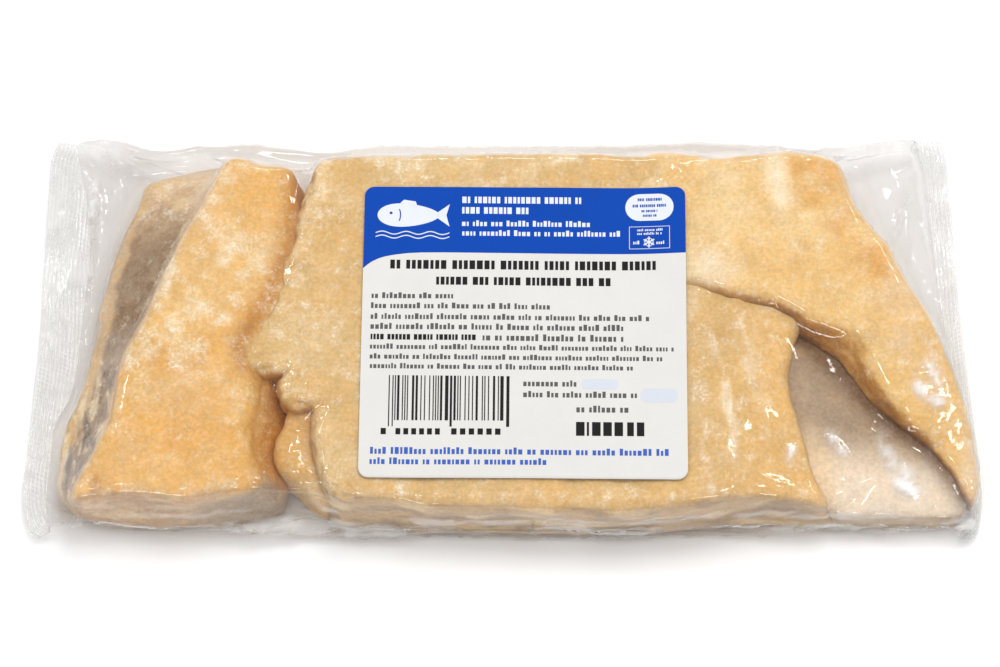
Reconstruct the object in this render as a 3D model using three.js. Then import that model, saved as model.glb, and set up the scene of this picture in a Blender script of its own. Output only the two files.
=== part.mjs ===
// A clear flow-wrapped bag of frozen cod pieces with a paper label on top.
// Millimetres, +Z up, +X along the length, +Y to the back edge.
// The origin is on the resting surface, under the middle of the outline.
import * as THREE from "three";

// ---------------------------------------------------------------- sizes
const BACK_EDGE_Y = 53.2;        // side fold of the bag, back
const FRONT_EDGE_Y = -58.6;      // side fold of the bag, front
const FOLD_HEIGHT_BACK = 9.5;    // height of the side fold above the rest plane
const FOLD_HEIGHT_FRONT = 6.0;
const SHOULDER_TOP = 9.0;        // how far in from the fold the top shoulder starts
const SHOULDER_BASE = 7.0;       // same for the lower edge

const SEAL_THICK = 1.3;          // crimped end strip, both layers with their ribs
const SEAL_WIDTH_LEFT = 9.5;     // length of the strip along X
const SEAL_WIDTH_RIGHT = 7.0;
const SEAL_HEIGHT_LEFT = 3.4;    // mid height of the strips
const SEAL_HEIGHT_RIGHT = 3.6;
const SEAL_FLARE = 3.9;          // the strips are wider than the filled body
const SEAL_FLARE_LENGTH = 17.0;  // length over which that widening fades
const SEAL_CORNER = 2.6;         // chamfer of the strip corners
const TAPER_LEFT = 15.0;         // film slope from the filling down to the strip
const TAPER_RIGHT = 11.0;
const FILM_BRIDGE = 5.0;         // the film rounds off steps over this length

const LABEL_WIDTH = 88.0;
const LABEL_DEPTH = 86.0;
const LABEL_CORNER = 2.8;
const LABEL_THICK = 0.3;
const LABEL_CENTRE = [6.0, -7.8];
const LABEL_TURN = -0.5;         // degrees about +Z
const LABEL_GAP = 0.3;           // clearance to the film below
const LABEL_SPAN = 2.5;          // the paper bridges hollows of this radius

const STATIONS = 78;             // sections along the length
const ACROSS = 24;               // columns across each section
const LABEL_CELLS = [17, 18];

// outer edges of the two end strips: X at the back corner, middle, front corner
const END_LEFT = { back: -127.4, middle: -127.9, front: -130.6 };
const END_RIGHT = { back: 125.2, middle: 127.6, front: 130.6 };

// local pinches (-) and swells (+) of the side folds: [x, spread, amount]
const BACK_WAVES = [[-90, 13, -3.2], [-74, 7, 1.4], [-50, 9, -1.8], [-30, 10, 0.8], [58, 12, 1.0], [88, 10, -0.8]];
const FRONT_WAVES = [[-112, 9, -2.0], [-86, 16, 0.3], [-53, 6.5, -4.6], [20, 34, 0.9], [72, 16, -1.6], [98, 10, -1.4]];

// the frozen pieces, each as the four-sided footprint of its raised top:
// front and back edge, left and right edge at the front and at the back
const PIECES = [
  { name: "left block", front: -54, back: 44, leftFront: -114, leftBack: -82, rightFront: -58, rightBack: -57,
    top: 24.0, riseX: 0.02, riseY: 0.0, flank: 11 },
  { name: "left lower layer", front: -53, back: 44, leftFront: -119, leftBack: -101, rightFront: -96, rightBack: -78,
    top: 12.5, riseX: 0.10, riseY: 0.0, flank: 9 },
  { name: "middle slab", front: -57, back: 46, leftFront: -50, leftBack: -50, rightFront: 80, rightBack: 62,
    top: 23.6, riseX: 0.0, riseY: 0.01, flank: 8, bulgeLeft: 9 },
  { name: "flap root", front: 2, back: 43, leftFront: 52, leftBack: 52, rightFront: 112, rightBack: 93,
    top: 25.0, riseX: -0.02, riseY: 0.0, flank: 13 },
  { name: "flap tail", front: -53, back: 12, leftFront: 117, leftBack: 84, rightFront: 123, rightBack: 109,
    top: 20.5, riseX: -0.03, riseY: 0.13, flank: 8 },
  { name: "skin side", front: -54, back: 0, leftFront: 80, leftBack: 80, rightFront: 118, rightBack: 100,
    top: 15.0, riseX: -0.06, riseY: 0.05, flank: 9 },
];

// ------------------------------------------------------------- functions
const clamp = (v, a, b) => Math.min(b, Math.max(a, v));
const lerp = (a, b, t) => a + (b - a) * t;
const smooth = (t) => { t = clamp(t, 0, 1); return t * t * (3 - 2 * t); };
const waves = (list, x) => list.reduce((s, [c, w, a]) => s + a * Math.exp(-(((x - c) / w) ** 2)), 0);
const softMax = (a, b, k) => { const h = clamp(0.5 + 0.5 * (a - b) / k, 0, 1); return lerp(b, a, h) + k * h * (1 - h); };

// distance outside a four-sided footprint, negative inside
function outside(p, x, y) {
  const t = (y - p.front) / (p.back - p.front);
  const bow = (p.bulgeLeft || 0) * Math.max(0, 1 - (2 * clamp(t, 0, 1) - 1) ** 2);
  const left = lerp(p.leftFront, p.leftBack, clamp(t, -0.1, 1.1)) - bow;
  const right = lerp(p.rightFront, p.rightBack, clamp(t, -0.1, 1.1));
  const dx = Math.max(left - x, x - right), dy = Math.max(p.front - y, y - p.back);
  return dx > 0 && dy > 0 ? Math.hypot(dx, dy) : Math.max(dx, dy);
}

// height of the pieces' own crests, each falling away over its flank
function crestHeight(x, y) {
  let z = 0;
  for (const p of PIECES) {
    const cx = (p.leftFront + p.rightBack) / 2, cy = (p.front + p.back) / 2;
    const crest = p.top + p.riseX * (x - cx) + p.riseY * (y - cy);
    z = softMax(z, crest * (1 - smooth(outside(p, x, y) / p.flank + 0.12)), 3.0);
  }
  return z;
}

// height of the film over the pieces, before the side shoulders: taut film
// rounds every step off over FILM_BRIDGE
function filmHeight(x, y) {
  let sum = 0, weight = 0;
  for (let a = -2; a <= 2; a++)
    for (let b = -2; b <= 2; b++) {
      const w = Math.exp(-(a * a + b * b) / 3);
      sum += w * crestHeight(x + a * FILM_BRIDGE / 2, y + b * FILM_BRIDGE / 2);
      weight += w;
    }
  return sum / weight;
}

const endX = (e, y) => {
  const t = clamp((y - FRONT_EDGE_Y) / (BACK_EDGE_Y - FRONT_EDGE_Y), 0, 1);
  const a = lerp(e.front, e.middle, clamp(t * 2, 0, 1)), b = lerp(e.middle, e.back, clamp(t * 2 - 1, 0, 1));
  return t < 0.5 ? a : b;
};

// distance in from each end strip's outer edge, for a station u from 0 to 1
function alongAt(u, y) {
  const xl = endX(END_LEFT, y), xr = endX(END_RIGHT, y);
  return { x: lerp(xl, xr, u), fromLeft: (xr - xl) * u, fromRight: (xr - xl) * (1 - u) };
}

function foldY(side, u) {
  const { x, fromLeft, fromRight } = alongAt(u, side > 0 ? BACK_EDGE_Y : FRONT_EDGE_Y);
  const base = side > 0 ? BACK_EDGE_Y + waves(BACK_WAVES, x) : FRONT_EDGE_Y - waves(FRONT_WAVES, x);
  const near = Math.min(fromLeft, fromRight);
  const flare = side > 0 ? SEAL_FLARE * (1 - smooth(near / SEAL_FLARE_LENGTH)) : 0.4 * (1 - smooth(near / SEAL_FLARE_LENGTH));
  const extra = side > 0 ? (fromRight < fromLeft ? 3.4 : 2.2) * (1 - smooth(near / (SEAL_FLARE_LENGTH * 1.6))) : 0.8 * (1 - smooth(near / SEAL_FLARE_LENGTH));
  const chamfer = SEAL_CORNER * clamp(1 - near / SEAL_CORNER, 0, 1);
  return base + side * (flare + extra - chamfer);
}

const stationAt = (i) => {
  const t = i / (STATIONS - 1);
  return t + 0.030 * Math.sin(2 * Math.PI * t) * -1;       // closer together near the ends
};

function bagSolid() {
  const pos = [], idx = [];
  const top = [], base = [];
  for (let i = 0; i < STATIONS; i++) {
    const u = stationAt(i), yb = foldY(1, u), yf = foldY(-1, u);
    const yc = (yb + yf) / 2, hw = (yb - yf) / 2;
    top.push([]); base.push([]);
    for (let j = 0; j < ACROSS; j++) {
      // columns gather towards the two folds
      const s = -1 + 2 * j / (ACROSS - 1);
      const q = 0.62 * s + 0.38 * Math.sin(s * Math.PI / 2);
      const y = yc + hw * q;
      const { x, fromLeft, fromRight } = alongAt(u, y);
      const rise = Math.min(smooth((fromLeft - SEAL_WIDTH_LEFT) / TAPER_LEFT), smooth((fromRight - SEAL_WIDTH_RIGHT) / TAPER_RIGHT));
      const sealMid = fromLeft < fromRight ? SEAL_HEIGHT_LEFT : SEAL_HEIGHT_RIGHT;
      const fold = lerp(sealMid, y > yc ? FOLD_HEIGHT_BACK : FOLD_HEIGHT_FRONT, rise);
      const edge = Math.abs(y - yc);
      const arc = (r) => Math.sqrt(Math.max(0, 1 - clamp((edge - (hw - r)) / r, 0, 1) ** 2));
      const half = SEAL_THICK / 2 * (Math.abs(q) > 0.9999 ? 0 : 1);
      const crest = lerp(sealMid, Math.max(fold, filmHeight(x, y)), rise);
      const zTop = fold + Math.max((crest - fold) * arc(SHOULDER_TOP), 0);
      const zBase = lerp(sealMid, 0, rise);
      const zLow = fold - (fold - zBase) * arc(SHOULDER_BASE);
      top[i].push(pos.length / 3);
      pos.push(x, y, zTop + half * (1 - rise) + (half ? 0.35 * rise : 0));
      if (half) {
        base[i].push(pos.length / 3);
        pos.push(x, y, rise > 0.999 && edge < hw - SHOULDER_BASE ? 0 : Math.max(zLow - half * (1 - rise), 0));
      } else base[i].push(top[i][j]);
    }
  }
  const quad = (a, b, c, d) => {
    if (a !== b && b !== c && a !== c) idx.push(a, b, c);
    if (a !== c && c !== d && a !== d) idx.push(a, c, d);
  };
  for (let i = 0; i + 1 < STATIONS; i++)
    for (let j = 0; j + 1 < ACROSS; j++) {
      quad(top[i][j], top[i + 1][j], top[i + 1][j + 1], top[i][j + 1]);
      quad(base[i][j], base[i][j + 1], base[i + 1][j + 1], base[i + 1][j]);
    }
  const last = STATIONS - 1;
  for (let j = 0; j + 1 < ACROSS; j++) {
    quad(top[0][j], top[0][j + 1], base[0][j + 1], base[0][j]);
    quad(top[last][j], base[last][j], base[last][j + 1], top[last][j + 1]);
  }
  return closedGeometry(pos, idx);
}

// height that the stiff label takes: the highest film just around the point
function skinHeight(x, y) {
  let z = 0;
  for (let a = -1; a <= 1; a++)
    for (let b = -1; b <= 1; b++) z = Math.max(z, filmHeight(x + a * LABEL_SPAN, y + b * LABEL_SPAN));
  return z + 0.35;
}

function labelSolid() {
  const [nx, ny] = LABEL_CELLS, pos = [], idx = [], grid = [[], []];
  const turn = THREE.MathUtils.degToRad(LABEL_TURN);
  const rows = [];
  for (let j = 0; j <= ny; j++) {
    // rows gather at the rounded corners
    const s = -1 + 2 * j / ny;
    rows.push(LABEL_DEPTH / 2 * (Math.abs(s) < 1 ? Math.sin(s * Math.PI / 2) * 0.12 + s * 0.88 : s));
  }
  for (let level = 0; level < 2; level++)
    for (let j = 0; j <= ny; j++) {
      grid[level].push([]);
      const over = Math.max(0, Math.abs(rows[j]) - (LABEL_DEPTH / 2 - LABEL_CORNER));
      const hw = LABEL_WIDTH / 2 - (LABEL_CORNER - Math.sqrt(Math.max(0, LABEL_CORNER ** 2 - over ** 2)));
      for (let i = 0; i <= nx; i++) {
        const lx = hw * (-1 + 2 * i / nx), ly = rows[j];
        const x = LABEL_CENTRE[0] + lx * Math.cos(turn) - ly * Math.sin(turn);
        const y = LABEL_CENTRE[1] + lx * Math.sin(turn) + ly * Math.cos(turn);
        grid[level][j].push(pos.length / 3);
        pos.push(x, y, skinHeight(x, y) + LABEL_GAP + level * LABEL_THICK);
      }
    }
  const quad = (a, b, c, d) => idx.push(a, b, c, a, c, d);
  for (let j = 0; j < ny; j++)
    for (let i = 0; i < nx; i++) {
      const [lo, hi] = grid;
      quad(hi[j][i], hi[j][i + 1], hi[j + 1][i + 1], hi[j + 1][i]);
      quad(lo[j][i], lo[j + 1][i], lo[j + 1][i + 1], lo[j][i + 1]);
    }
  const rim = [];
  for (let i = 0; i < nx; i++) rim.push([0, i]);
  for (let j = 0; j < ny; j++) rim.push([j, nx]);
  for (let i = nx; i > 0; i--) rim.push([ny, i]);
  for (let j = ny; j > 0; j--) rim.push([j, 0]);
  rim.forEach(([j, i], k) => {
    const [j2, i2] = rim[(k + 1) % rim.length];
    quad(grid[0][j][i], grid[0][j2][i2], grid[1][j2][i2], grid[1][j][i]);
  });
  return closedGeometry(pos, idx);
}

function closedGeometry(pos, idx) {
  const g = new THREE.BufferGeometry();
  g.setAttribute("position", new THREE.Float32BufferAttribute(pos, 3));
  g.setIndex(idx);
  g.computeVertexNormals();
  return g;
}

// ---------------------------------------------------------------- pieces
const film = new THREE.MeshStandardMaterial({ color: 0xe6c796, roughness: 0.12, metalness: 0 });
const paper = new THREE.MeshStandardMaterial({ color: 0xf3f3f1, roughness: 0.45, metalness: 0 });

const pack = new THREE.Group();

const bag = new THREE.Mesh(bagSolid(), film);
bag.name = "bag";
pack.add(bag);

const label = new THREE.Mesh(labelSolid(), paper);
label.name = "label";
pack.add(label);

export default pack;
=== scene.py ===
# Clear sealed bag of frozen cod pieces: the film, the pieces and the label's print.
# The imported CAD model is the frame; every piece here rides on its one body.
import math

import bpy
import numpy as np
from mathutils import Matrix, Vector


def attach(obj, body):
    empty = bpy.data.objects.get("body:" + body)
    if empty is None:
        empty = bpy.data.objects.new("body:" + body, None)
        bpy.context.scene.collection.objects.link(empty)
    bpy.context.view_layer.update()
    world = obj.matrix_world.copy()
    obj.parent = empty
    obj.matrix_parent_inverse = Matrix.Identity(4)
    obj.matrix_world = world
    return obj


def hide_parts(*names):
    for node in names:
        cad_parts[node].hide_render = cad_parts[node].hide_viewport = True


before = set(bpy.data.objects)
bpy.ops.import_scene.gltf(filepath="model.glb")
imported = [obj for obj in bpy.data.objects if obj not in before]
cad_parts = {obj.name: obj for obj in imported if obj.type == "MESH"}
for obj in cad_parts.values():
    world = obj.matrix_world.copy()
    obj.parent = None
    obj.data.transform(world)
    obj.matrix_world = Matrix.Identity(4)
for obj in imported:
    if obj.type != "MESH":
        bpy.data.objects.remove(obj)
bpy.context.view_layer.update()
MM = 0.001

# ------------------------------------------------------------------ camera
PX = 3800.0                                   # focal length in pixels of a 1000 px wide frame
ELEVATION = math.radians(66.0)
AIM = (-0.5, -3.5, 8.0)                       # mm
DISTANCE = 1045.0                             # mm
cam_data = bpy.data.cameras.new("cam")
cam_data.sensor_fit = "HORIZONTAL"
cam_data.sensor_width = 36.0
cam_data.lens = 36.0 * PX / 1000.0
cam_data.clip_start = 0.01
cam_data.clip_end = 50.0
cam = bpy.data.objects.new("cam", cam_data)
bpy.context.scene.collection.objects.link(cam)
cam.location = (AIM[0] * MM,
                (AIM[1] - DISTANCE * math.cos(ELEVATION)) * MM,
                (AIM[2] + DISTANCE * math.sin(ELEVATION)) * MM)
cam.rotation_euler = (math.pi / 2 - ELEVATION + math.atan(5.5 / PX), 0, 0)
bpy.context.scene.camera = cam

# ------------------------------------------------------------------- noise


def _hash(ix, iy, iz, seed):
    n = (ix.astype(np.int64) * 374761393 + iy.astype(np.int64) * 668265263
         + iz.astype(np.int64) * 1440662683 + seed * 1274126177) & 0xFFFFFFFF
    n = ((n ^ (n >> 13)) * 1103515245) & 0xFFFFFFFF
    n = ((n ^ (n >> 15)) * 668265263) & 0xFFFFFFFF
    return (n ^ (n >> 16)) / 4294967295.0


def vnoise(p, size, seed):
    """Smooth noise from 0 to 1 with cells of the given size, at points p (n, 3)."""
    q = np.asarray(p, dtype=np.float64) / size + 100.0
    i = np.floor(q)
    f = q - i
    f = f * f * f * (f * (f * 6 - 15) + 10)
    i = i.astype(np.int64)
    out = 0.0
    for dx in (0, 1):
        wx = f[:, 0] if dx else 1 - f[:, 0]
        for dy in (0, 1):
            wy = f[:, 1] if dy else 1 - f[:, 1]
            for dz in (0, 1):
                wz = f[:, 2] if dz else 1 - f[:, 2]
                out = out + wx * wy * wz * _hash(i[:, 0] + dx, i[:, 1] + dy, i[:, 2] + dz, seed)
    return out


def fbm(p, size, seed, octaves=4, gain=0.5):
    """Noise of several sizes, about -1 to 1."""
    total, amp, norm = 0.0, 1.0, 0.0
    for o in range(octaves):
        total = total + amp * (vnoise(p, size / 2 ** o, seed + 17 * o) * 2 - 1)
        norm += amp
        amp *= gain
    return total / norm * 1.6


def cells(p, size, seed):
    """Distance to the nearest of a set of scattered points, in units of the cell size."""
    q = p / size + 31.7
    i0 = np.floor(q).astype(np.int64)
    best = np.full(len(p), 9.0)
    for dx in (-1, 0, 1):
        for dy in (-1, 0, 1):
            for dz in (-1, 0, 1):
                ix, iy, iz = i0[:, 0] + dx, i0[:, 1] + dy, i0[:, 2] + dz
                c = np.stack([ix + 0.5 + 0.42 * _hash(ix, iy, iz, seed), iy + 0.5 + 0.42 * _hash(ix, iy, iz, seed + 1),
                              iz + 0.5 + 0.42 * _hash(ix, iy, iz, seed + 2)], -1)
                best = np.minimum(best, ((q - c) ** 2).sum(1))
    return np.sqrt(best)


def smoothstep(a, b, x):
    t = np.clip((x - a) / (b - a), 0, 1)
    return t * t * (3 - 2 * t)


# ------------------------------------------------------- outlines and solids


def spline(points, closed=True, step=0.8):
    """A smooth curve through the points, as an evenly spaced polyline."""
    p = np.array(points, dtype=float)
    n = len(p)
    out = []
    for k in range(n if closed else n - 1):
        if closed:
            a, b, c, d = p[(k - 1) % n], p[k], p[(k + 1) % n], p[(k + 2) % n]
        else:
            a, b, c, d = p[max(k - 1, 0)], p[k], p[k + 1], p[min(k + 2, n - 1)]
        m = max(2, int(np.linalg.norm(c - b) / step) + 1)
        t = np.linspace(0, 1, m, endpoint=False)[:, None]
        t2, t3 = t * t, t * t * t
        out.append(0.5 * (2 * b + (c - a) * t + (2 * a - 5 * b + 4 * c - d) * t2 + (3 * b - a - 3 * c + d) * t3))
    return np.vstack(out)


def poly_distance(x, y, poly):
    """Signed distance to a closed outline, negative inside."""
    shape = x.shape
    px, py = x.ravel(), y.ravel()
    best = np.full(px.shape, 1e18)
    inside = np.zeros(px.shape, dtype=bool)
    a = poly
    b = np.roll(poly, -1, axis=0)
    for (ax, ay), (bx, by) in zip(a, b):
        ex, ey = bx - ax, by - ay
        wx, wy = px - ax, py - ay
        t = np.clip((wx * ex + wy * ey) / max(ex * ex + ey * ey, 1e-12), 0, 1)
        dx, dy = wx - ex * t, wy - ey * t
        best = np.minimum(best, dx * dx + dy * dy)
        if ay != by:
            cross = (ay > py) != (by > py)
            inside ^= cross & (px < ex * (py - ay) / (by - ay) + ax)
    d = np.sqrt(best)
    return np.where(inside, -d, d).reshape(shape)


def round_max(a, b, r):
    return np.minimum(np.maximum(a, b), -r) + np.hypot(np.maximum(a + r, 0), np.maximum(b + r, 0))


def smooth_min(a, b, k):
    h = np.clip(0.5 + 0.5 * (b - a) / k, 0, 1)
    return b * (1 - h) + a * h - k * h * (1 - h)


def surface_nets(f, origin, h):
    """Closed quad mesh of the zero level of f, which is negative inside."""
    nx, ny, nz = f.shape
    ins = f < 0
    corner = [(i, j, k) for i in (0, 1) for j in (0, 1) for k in (0, 1)]

    def at(arr, c):
        return arr[c[0]:nx - 1 + c[0], c[1]:ny - 1 + c[1], c[2]:nz - 1 + c[2]]

    count = sum(at(ins, c).astype(np.int8) for c in corner)
    active = (count > 0) & (count < 8)
    cells = np.argwhere(active)
    index = -np.ones(active.shape, dtype=np.int64)
    index[active] = np.arange(len(cells))
    acc = np.zeros((len(cells), 3))
    num = np.zeros(len(cells))
    vals = {c: at(f, c)[active] for c in corner}
    for a in corner:
        for ax in range(3):
            if a[ax]:
                continue
            b = list(a)
            b[ax] = 1
            fa, fb = vals[a], vals[tuple(b)]
            m = (fa < 0) != (fb < 0)
            t = np.where(m, fa / np.where(m, fa - fb, 1), 0)
            p = np.repeat(np.array(a, dtype=float)[None], len(cells), 0)
            p[:, ax] += t
            acc += p * m[:, None]
            num += m
    verts = np.array(origin) + h * (cells + acc / num[:, None])
    faces = []
    for ax in range(3):
        u, v = (ax + 1) % 3, (ax + 2) % 3
        sl0 = [slice(1, s - 1) for s in f.shape]
        sl0[ax] = slice(0, f.shape[ax] - 1)
        sl1 = list(sl0)
        sl1[ax] = slice(1, f.shape[ax])
        i0, i1 = ins[tuple(sl0)], ins[tuple(sl1)]
        e = np.argwhere(i0 != i1)
        start = i0[tuple(e.T)]
        base = e.copy()
        base[:, u] += 1
        base[:, v] += 1

        def cell(du, dv):
            c = base.copy()
            c[:, u] += du
            c[:, v] += dv
            return index[c[:, 0], c[:, 1], c[:, 2]]

        q = np.stack([cell(-1, -1), cell(0, -1), cell(0, 0), cell(-1, 0)], 1)
        q[~start] = q[~start][:, ::-1]
        faces.append(q)
    return verts, np.vstack(faces)


def mesh_edges(faces):
    e = np.vstack([faces[:, [0, 1]], faces[:, [1, 2]], faces[:, [2, 3]], faces[:, [3, 0]]])
    e.sort(axis=1)
    return np.unique(e, axis=0)


def relax(verts, edges, n, amount=0.5):
    cnt = np.bincount(edges.ravel(), minlength=len(verts)).astype(float)[:, None]
    for _ in range(n):
        s = np.zeros_like(verts)
        for c in range(3):
            s[:, c] = (np.bincount(edges[:, 0], verts[edges[:, 1], c], len(verts))
                       + np.bincount(edges[:, 1], verts[edges[:, 0], c], len(verts)))
        verts = verts + amount * (s / cnt - verts)
    return verts


def spread(values, edges, n):
    """Blur a number per vertex over the mesh."""
    cnt = np.bincount(edges.ravel(), minlength=len(values)).astype(float)
    for _ in range(n):
        s = (np.bincount(edges[:, 0], values[edges[:, 1]], len(values))
             + np.bincount(edges[:, 1], values[edges[:, 0]], len(values)))
        values = 0.5 * values + 0.5 * s / cnt
    return values


def normals_of(verts, faces):
    a = verts[faces[:, 2]] - verts[faces[:, 0]]
    b = verts[faces[:, 3]] - verts[faces[:, 1]]
    fn = np.cross(a, b)
    n = np.zeros_like(verts)
    for c in range(4):
        for k in range(3):
            n[:, k] += np.bincount(faces[:, c], fn[:, k], len(verts))
    return n / np.maximum(np.linalg.norm(n, axis=1)[:, None], 1e-12)


# ------------------------------------------------------------ object making


def new_object(name, verts_mm, faces, material, colours=None, smooth=True, extra=None):
    me = bpy.data.meshes.new(name)
    v = np.asarray(verts_mm, dtype=np.float64) * MM
    f = np.asarray(faces)
    me.vertices.add(len(v))
    me.vertices.foreach_set("co", v.astype(np.float32).ravel())
    me.loops.add(f.size)
    me.loops.foreach_set("vertex_index", f.astype(np.int32).ravel())
    me.polygons.add(len(f))
    me.polygons.foreach_set("loop_start", (np.arange(len(f)) * f.shape[1]).astype(np.int32))
    me.polygons.foreach_set("loop_total", np.full(len(f), f.shape[1], dtype=np.int32))
    me.update(calc_edges=True)
    if smooth:
        me.polygons.foreach_set("use_smooth", np.ones(len(f), dtype=bool))
    if colours is not None:
        at = me.attributes.new("tone", "FLOAT_COLOR", "POINT")
        at.data.foreach_set("color", np.hstack([colours, np.ones((len(v), 1))]).astype(np.float32).ravel())
    for key, val in (extra or {}).items():
        at = me.attributes.new(key, "FLOAT", "POINT")
        at.data.foreach_set("value", np.asarray(val, dtype=np.float32))
    me.validate()
    ob = bpy.data.objects.new(name, me)
    bpy.context.scene.collection.objects.link(ob)
    me.materials.append(material)
    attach(ob, "root")
    return ob


# ---------------------------------------------------------------- the fish
# Outlines in mm, seen from above, of each frozen piece at its crest and at its foot.

LEFT_CREST = [(-75, 46), (-66, 44), (-58, 42.5), (-56, 34), (-55, 24), (-57, 12), (-60, -2), (-64, -14), (-66, -28),
              (-66, -40), (-62, -49), (-67, -52.5), (-75, -54), (-84, -56), (-92, -55.2), (-102, -54.5), (-110, -55.8),
              (-114.5, -55.6), (-114, -51), (-110.5, -44), (-106, -32), (-104.5, -21), (-101.5, -11), (-97, -2),
              (-93, 9), (-88.5, 19), (-84.5, 28), (-80.5, 37)]
LEFT_FOOT = [(-92, 46.2), (-76, 49.5), (-60, 46), (-53, 34), (-52, 10), (-55, -20), (-57, -40), (-58.5, -51), (-64, -55),
             (-75, -56.5), (-92, -57.2), (-103, -56.5), (-113, -54.5), (-119, -50.5), (-120.3, -44), (-119.5, -32),
             (-115.5, -21.5), (-112.8, -11), (-111, 2), (-109, 15), (-105.5, 28), (-101.5, 38), (-99.5, 44)]

MID_CREST = [(-49, 45.5), (-53, 39), (-54.8, 32), (-56.3, 25), (-58, 19), (-60, 13), (-62, 3), (-65, -4), (-68.3, -9),
             (-70.3, -12.5), (-70, -17), (-65, -18.7), (-58.4, -18.5), (-60, -21.5), (-60, -25), (-57.5, -28.6),
             (-53.5, -29.6), (-50.6, -29), (-51.2, -36), (-50.2, -43), (-48.5, -50), (-44, -55), (-37, -56),
             (-30, -56), (-20, -57.6), (-6, -58.2), (12, -58.5), (30, -59.2), (44, -58), (56, -56.5), (66, -54.5),
             (78, -54.8), (87, -56), (84.5, -48), (82, -38), (79.5, -29), (78, -20), (79, -10), (84, 4), (80, 20),
             (74, 44), (60, 45.5), (30, 46.5), (0, 47), (-28, 46.6)]
MID_FOOT = [(-49, 49), (-54, 40), (-55, 20), (-57, 0), (-58, -20), (-52, -30), (-51, -44), (-48, -53), (-42, -57),
            (-30, -58), (0, -58.6), (30, -59), (52, -57.5), (66, -56), (84, -56.5), (90, -56), (86, -46), (82, -30),
            (82, -5), (88, 20), (80, 46), (40, 50), (0, 50.5)]

LOBE_CREST = [(-56.5, -27), (-59.5, -33), (-61.3, -39.5), (-60.3, -44.5), (-55, -48.5), (-50.5, -52.5), (-47, -54.5),
              (-46, -50), (-48, -42), (-49.5, -34), (-51, -27)]

FLAP_CREST = [(38, 44.5), (60, 45), (73.5, 46.5), (82, 46.8), (89.5, 44.8), (93.4, 42), (94.8, 36), (97, 29.5), (101, 23),
              (105.7, 17), (108.8, 10), (112.3, 3.5), (116, -3), (119.5, -11), (122, -18), (124.3, -26), (126.3, -34),
              (127.6, -42), (127.6, -49), (126.6, -52.5), (124.4, -48.5), (121.5, -42.5), (118, -36.5), (113.5, -32.5),
              (109, -29.8), (105, -26), (101, -20), (97.5, -14), (94.5, -9.5), (89, -7.3), (82, -4.8), (76.5, -1.3),
              (72, 0.6), (66, 2), (58.5, 4), (52, 6.5), (38, 8)]

FLAP_FOOT = [(38, 46.5), (60, 47.5), (73.5, 49), (83, 49), (91, 47), (95.8, 43.5), (97.4, 37), (99.6, 30.5), (103.5, 24),
             (108, 18), (111, 11), (114.3, 4), (118, -2.5), (121.2, -10.5), (123.6, -18), (125.8, -26), (127.4, -34),
             (128.4, -42), (128.4, -49), (126.8, -53.2), (125, -51.5), (121.6, -46), (117.2, -40), (112.8, -35.4),
             (109, -32.6), (105.6, -29.8), (100, -24.8), (94, -17.2), (86.5, -10.2), (79.2, -5.6), (73, -1.5),
             (66, 0.8), (58.5, 3), (52, 5.5), (38, 7)]

SKIN_CREST = [(72, -2), (78, 2), (84, 4), (94, 2), (106, -6), (116, -20), (123, -40), (125.5, -54), (120, -56.6),
              (106, -56.6), (97, -56.8), (90, -56), (84, -50), (80, -40), (77, -26)]


def solid_field(grid, crest, foot, top, radius, foot_z=3.0, crest_z=17.0, bottom=0.4, bottom_radius=2.0):
    """Field of one piece: its outline opens from crest to foot, and its top is a given height."""
    x, y, z = grid
    x2, y2 = x[:, :, 0], y[:, :, 0]
    dc = poly_distance(x2, y2, spline(crest))[:, :, None]
    df = poly_distance(x2, y2, spline(foot))[:, :, None] if foot is not None else dc
    t = np.clip((z - foot_z) / (crest_z - foot_z), 0, 1)
    side = df * (1 - t) + dc * t
    r = radius(x, y) if callable(radius) else radius
    f = round_max(side, z - top(x2, y2)[:, :, None], r)
    return round_max(f, bottom - z, bottom_radius)


def make_grid(lo, hi, h):
    ax = [np.arange(l, u + h, h) for l, u in zip(lo, hi)]
    return np.meshgrid(*ax, indexing="ij"), (lo[0], lo[1], lo[2]), h


def plane(z0, sx=0.0, sy=0.0, cx=0.0, cy=0.0):
    return lambda x, y: z0 + sx * (x - cx) + sy * (y - cy)


def left_top(x, y):
    z = 22.6 + 0.015 * (x + 85) + 1.0 * np.exp(-((x + 84) / 20) ** 2 - ((y - 8) / 30) ** 2)
    # rolls off into the valley on the right of its lower half
    roll = smoothstep(-76, -55, x) * smoothstep(4, -22, y)
    z = z - 1.9 * smoothstep(-74, -57, x) * smoothstep(-24, -6, y) * smoothstep(52, 30, y)      # tucked under the middle piece's edge
    return z - 9.0 * roll ** 1.5 - 1.2 * smoothstep(30, 48, y) * smoothstep(-60, -78, x)


def mid_top(x, y):
    z = 22.3 + 0.006 * (y + 10)
    z = z - 0.4 * smoothstep(-40, -58, x)                      # the knobbly edge
    z = z - 4.6 * smoothstep(52, 84, x) * smoothstep(14, -20, y)   # falls towards the skin side
    return z


def lobe_top(x, y):
    return 16.5 + 0.02 * (x + 55) - 2.5 * smoothstep(-44, -54, y) + 1.2 * smoothstep(-33, -26, y)


def flap_top(x, y):
    z = 25.2 - 1.2 * smoothstep(30, 46, y) - 2.4 * smoothstep(56, 40, x)
    z = z - 11.5 * smoothstep(6, -54, y) ** 1.1
    z = z - 2.0 * smoothstep(104, 128, x + 0.2 * y)
    return z


def flap_under(x, y):
    return 13.5 - 9.0 * smoothstep(90, 118, x) - 3.0 * smoothstep(0, -50, y)


def skin_top(x, y):
    return 13.4 - 0.05 * (x - 80) + 0.03 * (y + 30) - 1.2 * smoothstep(-45, -57, y)


H = 0.8

pieces = {}


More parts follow.
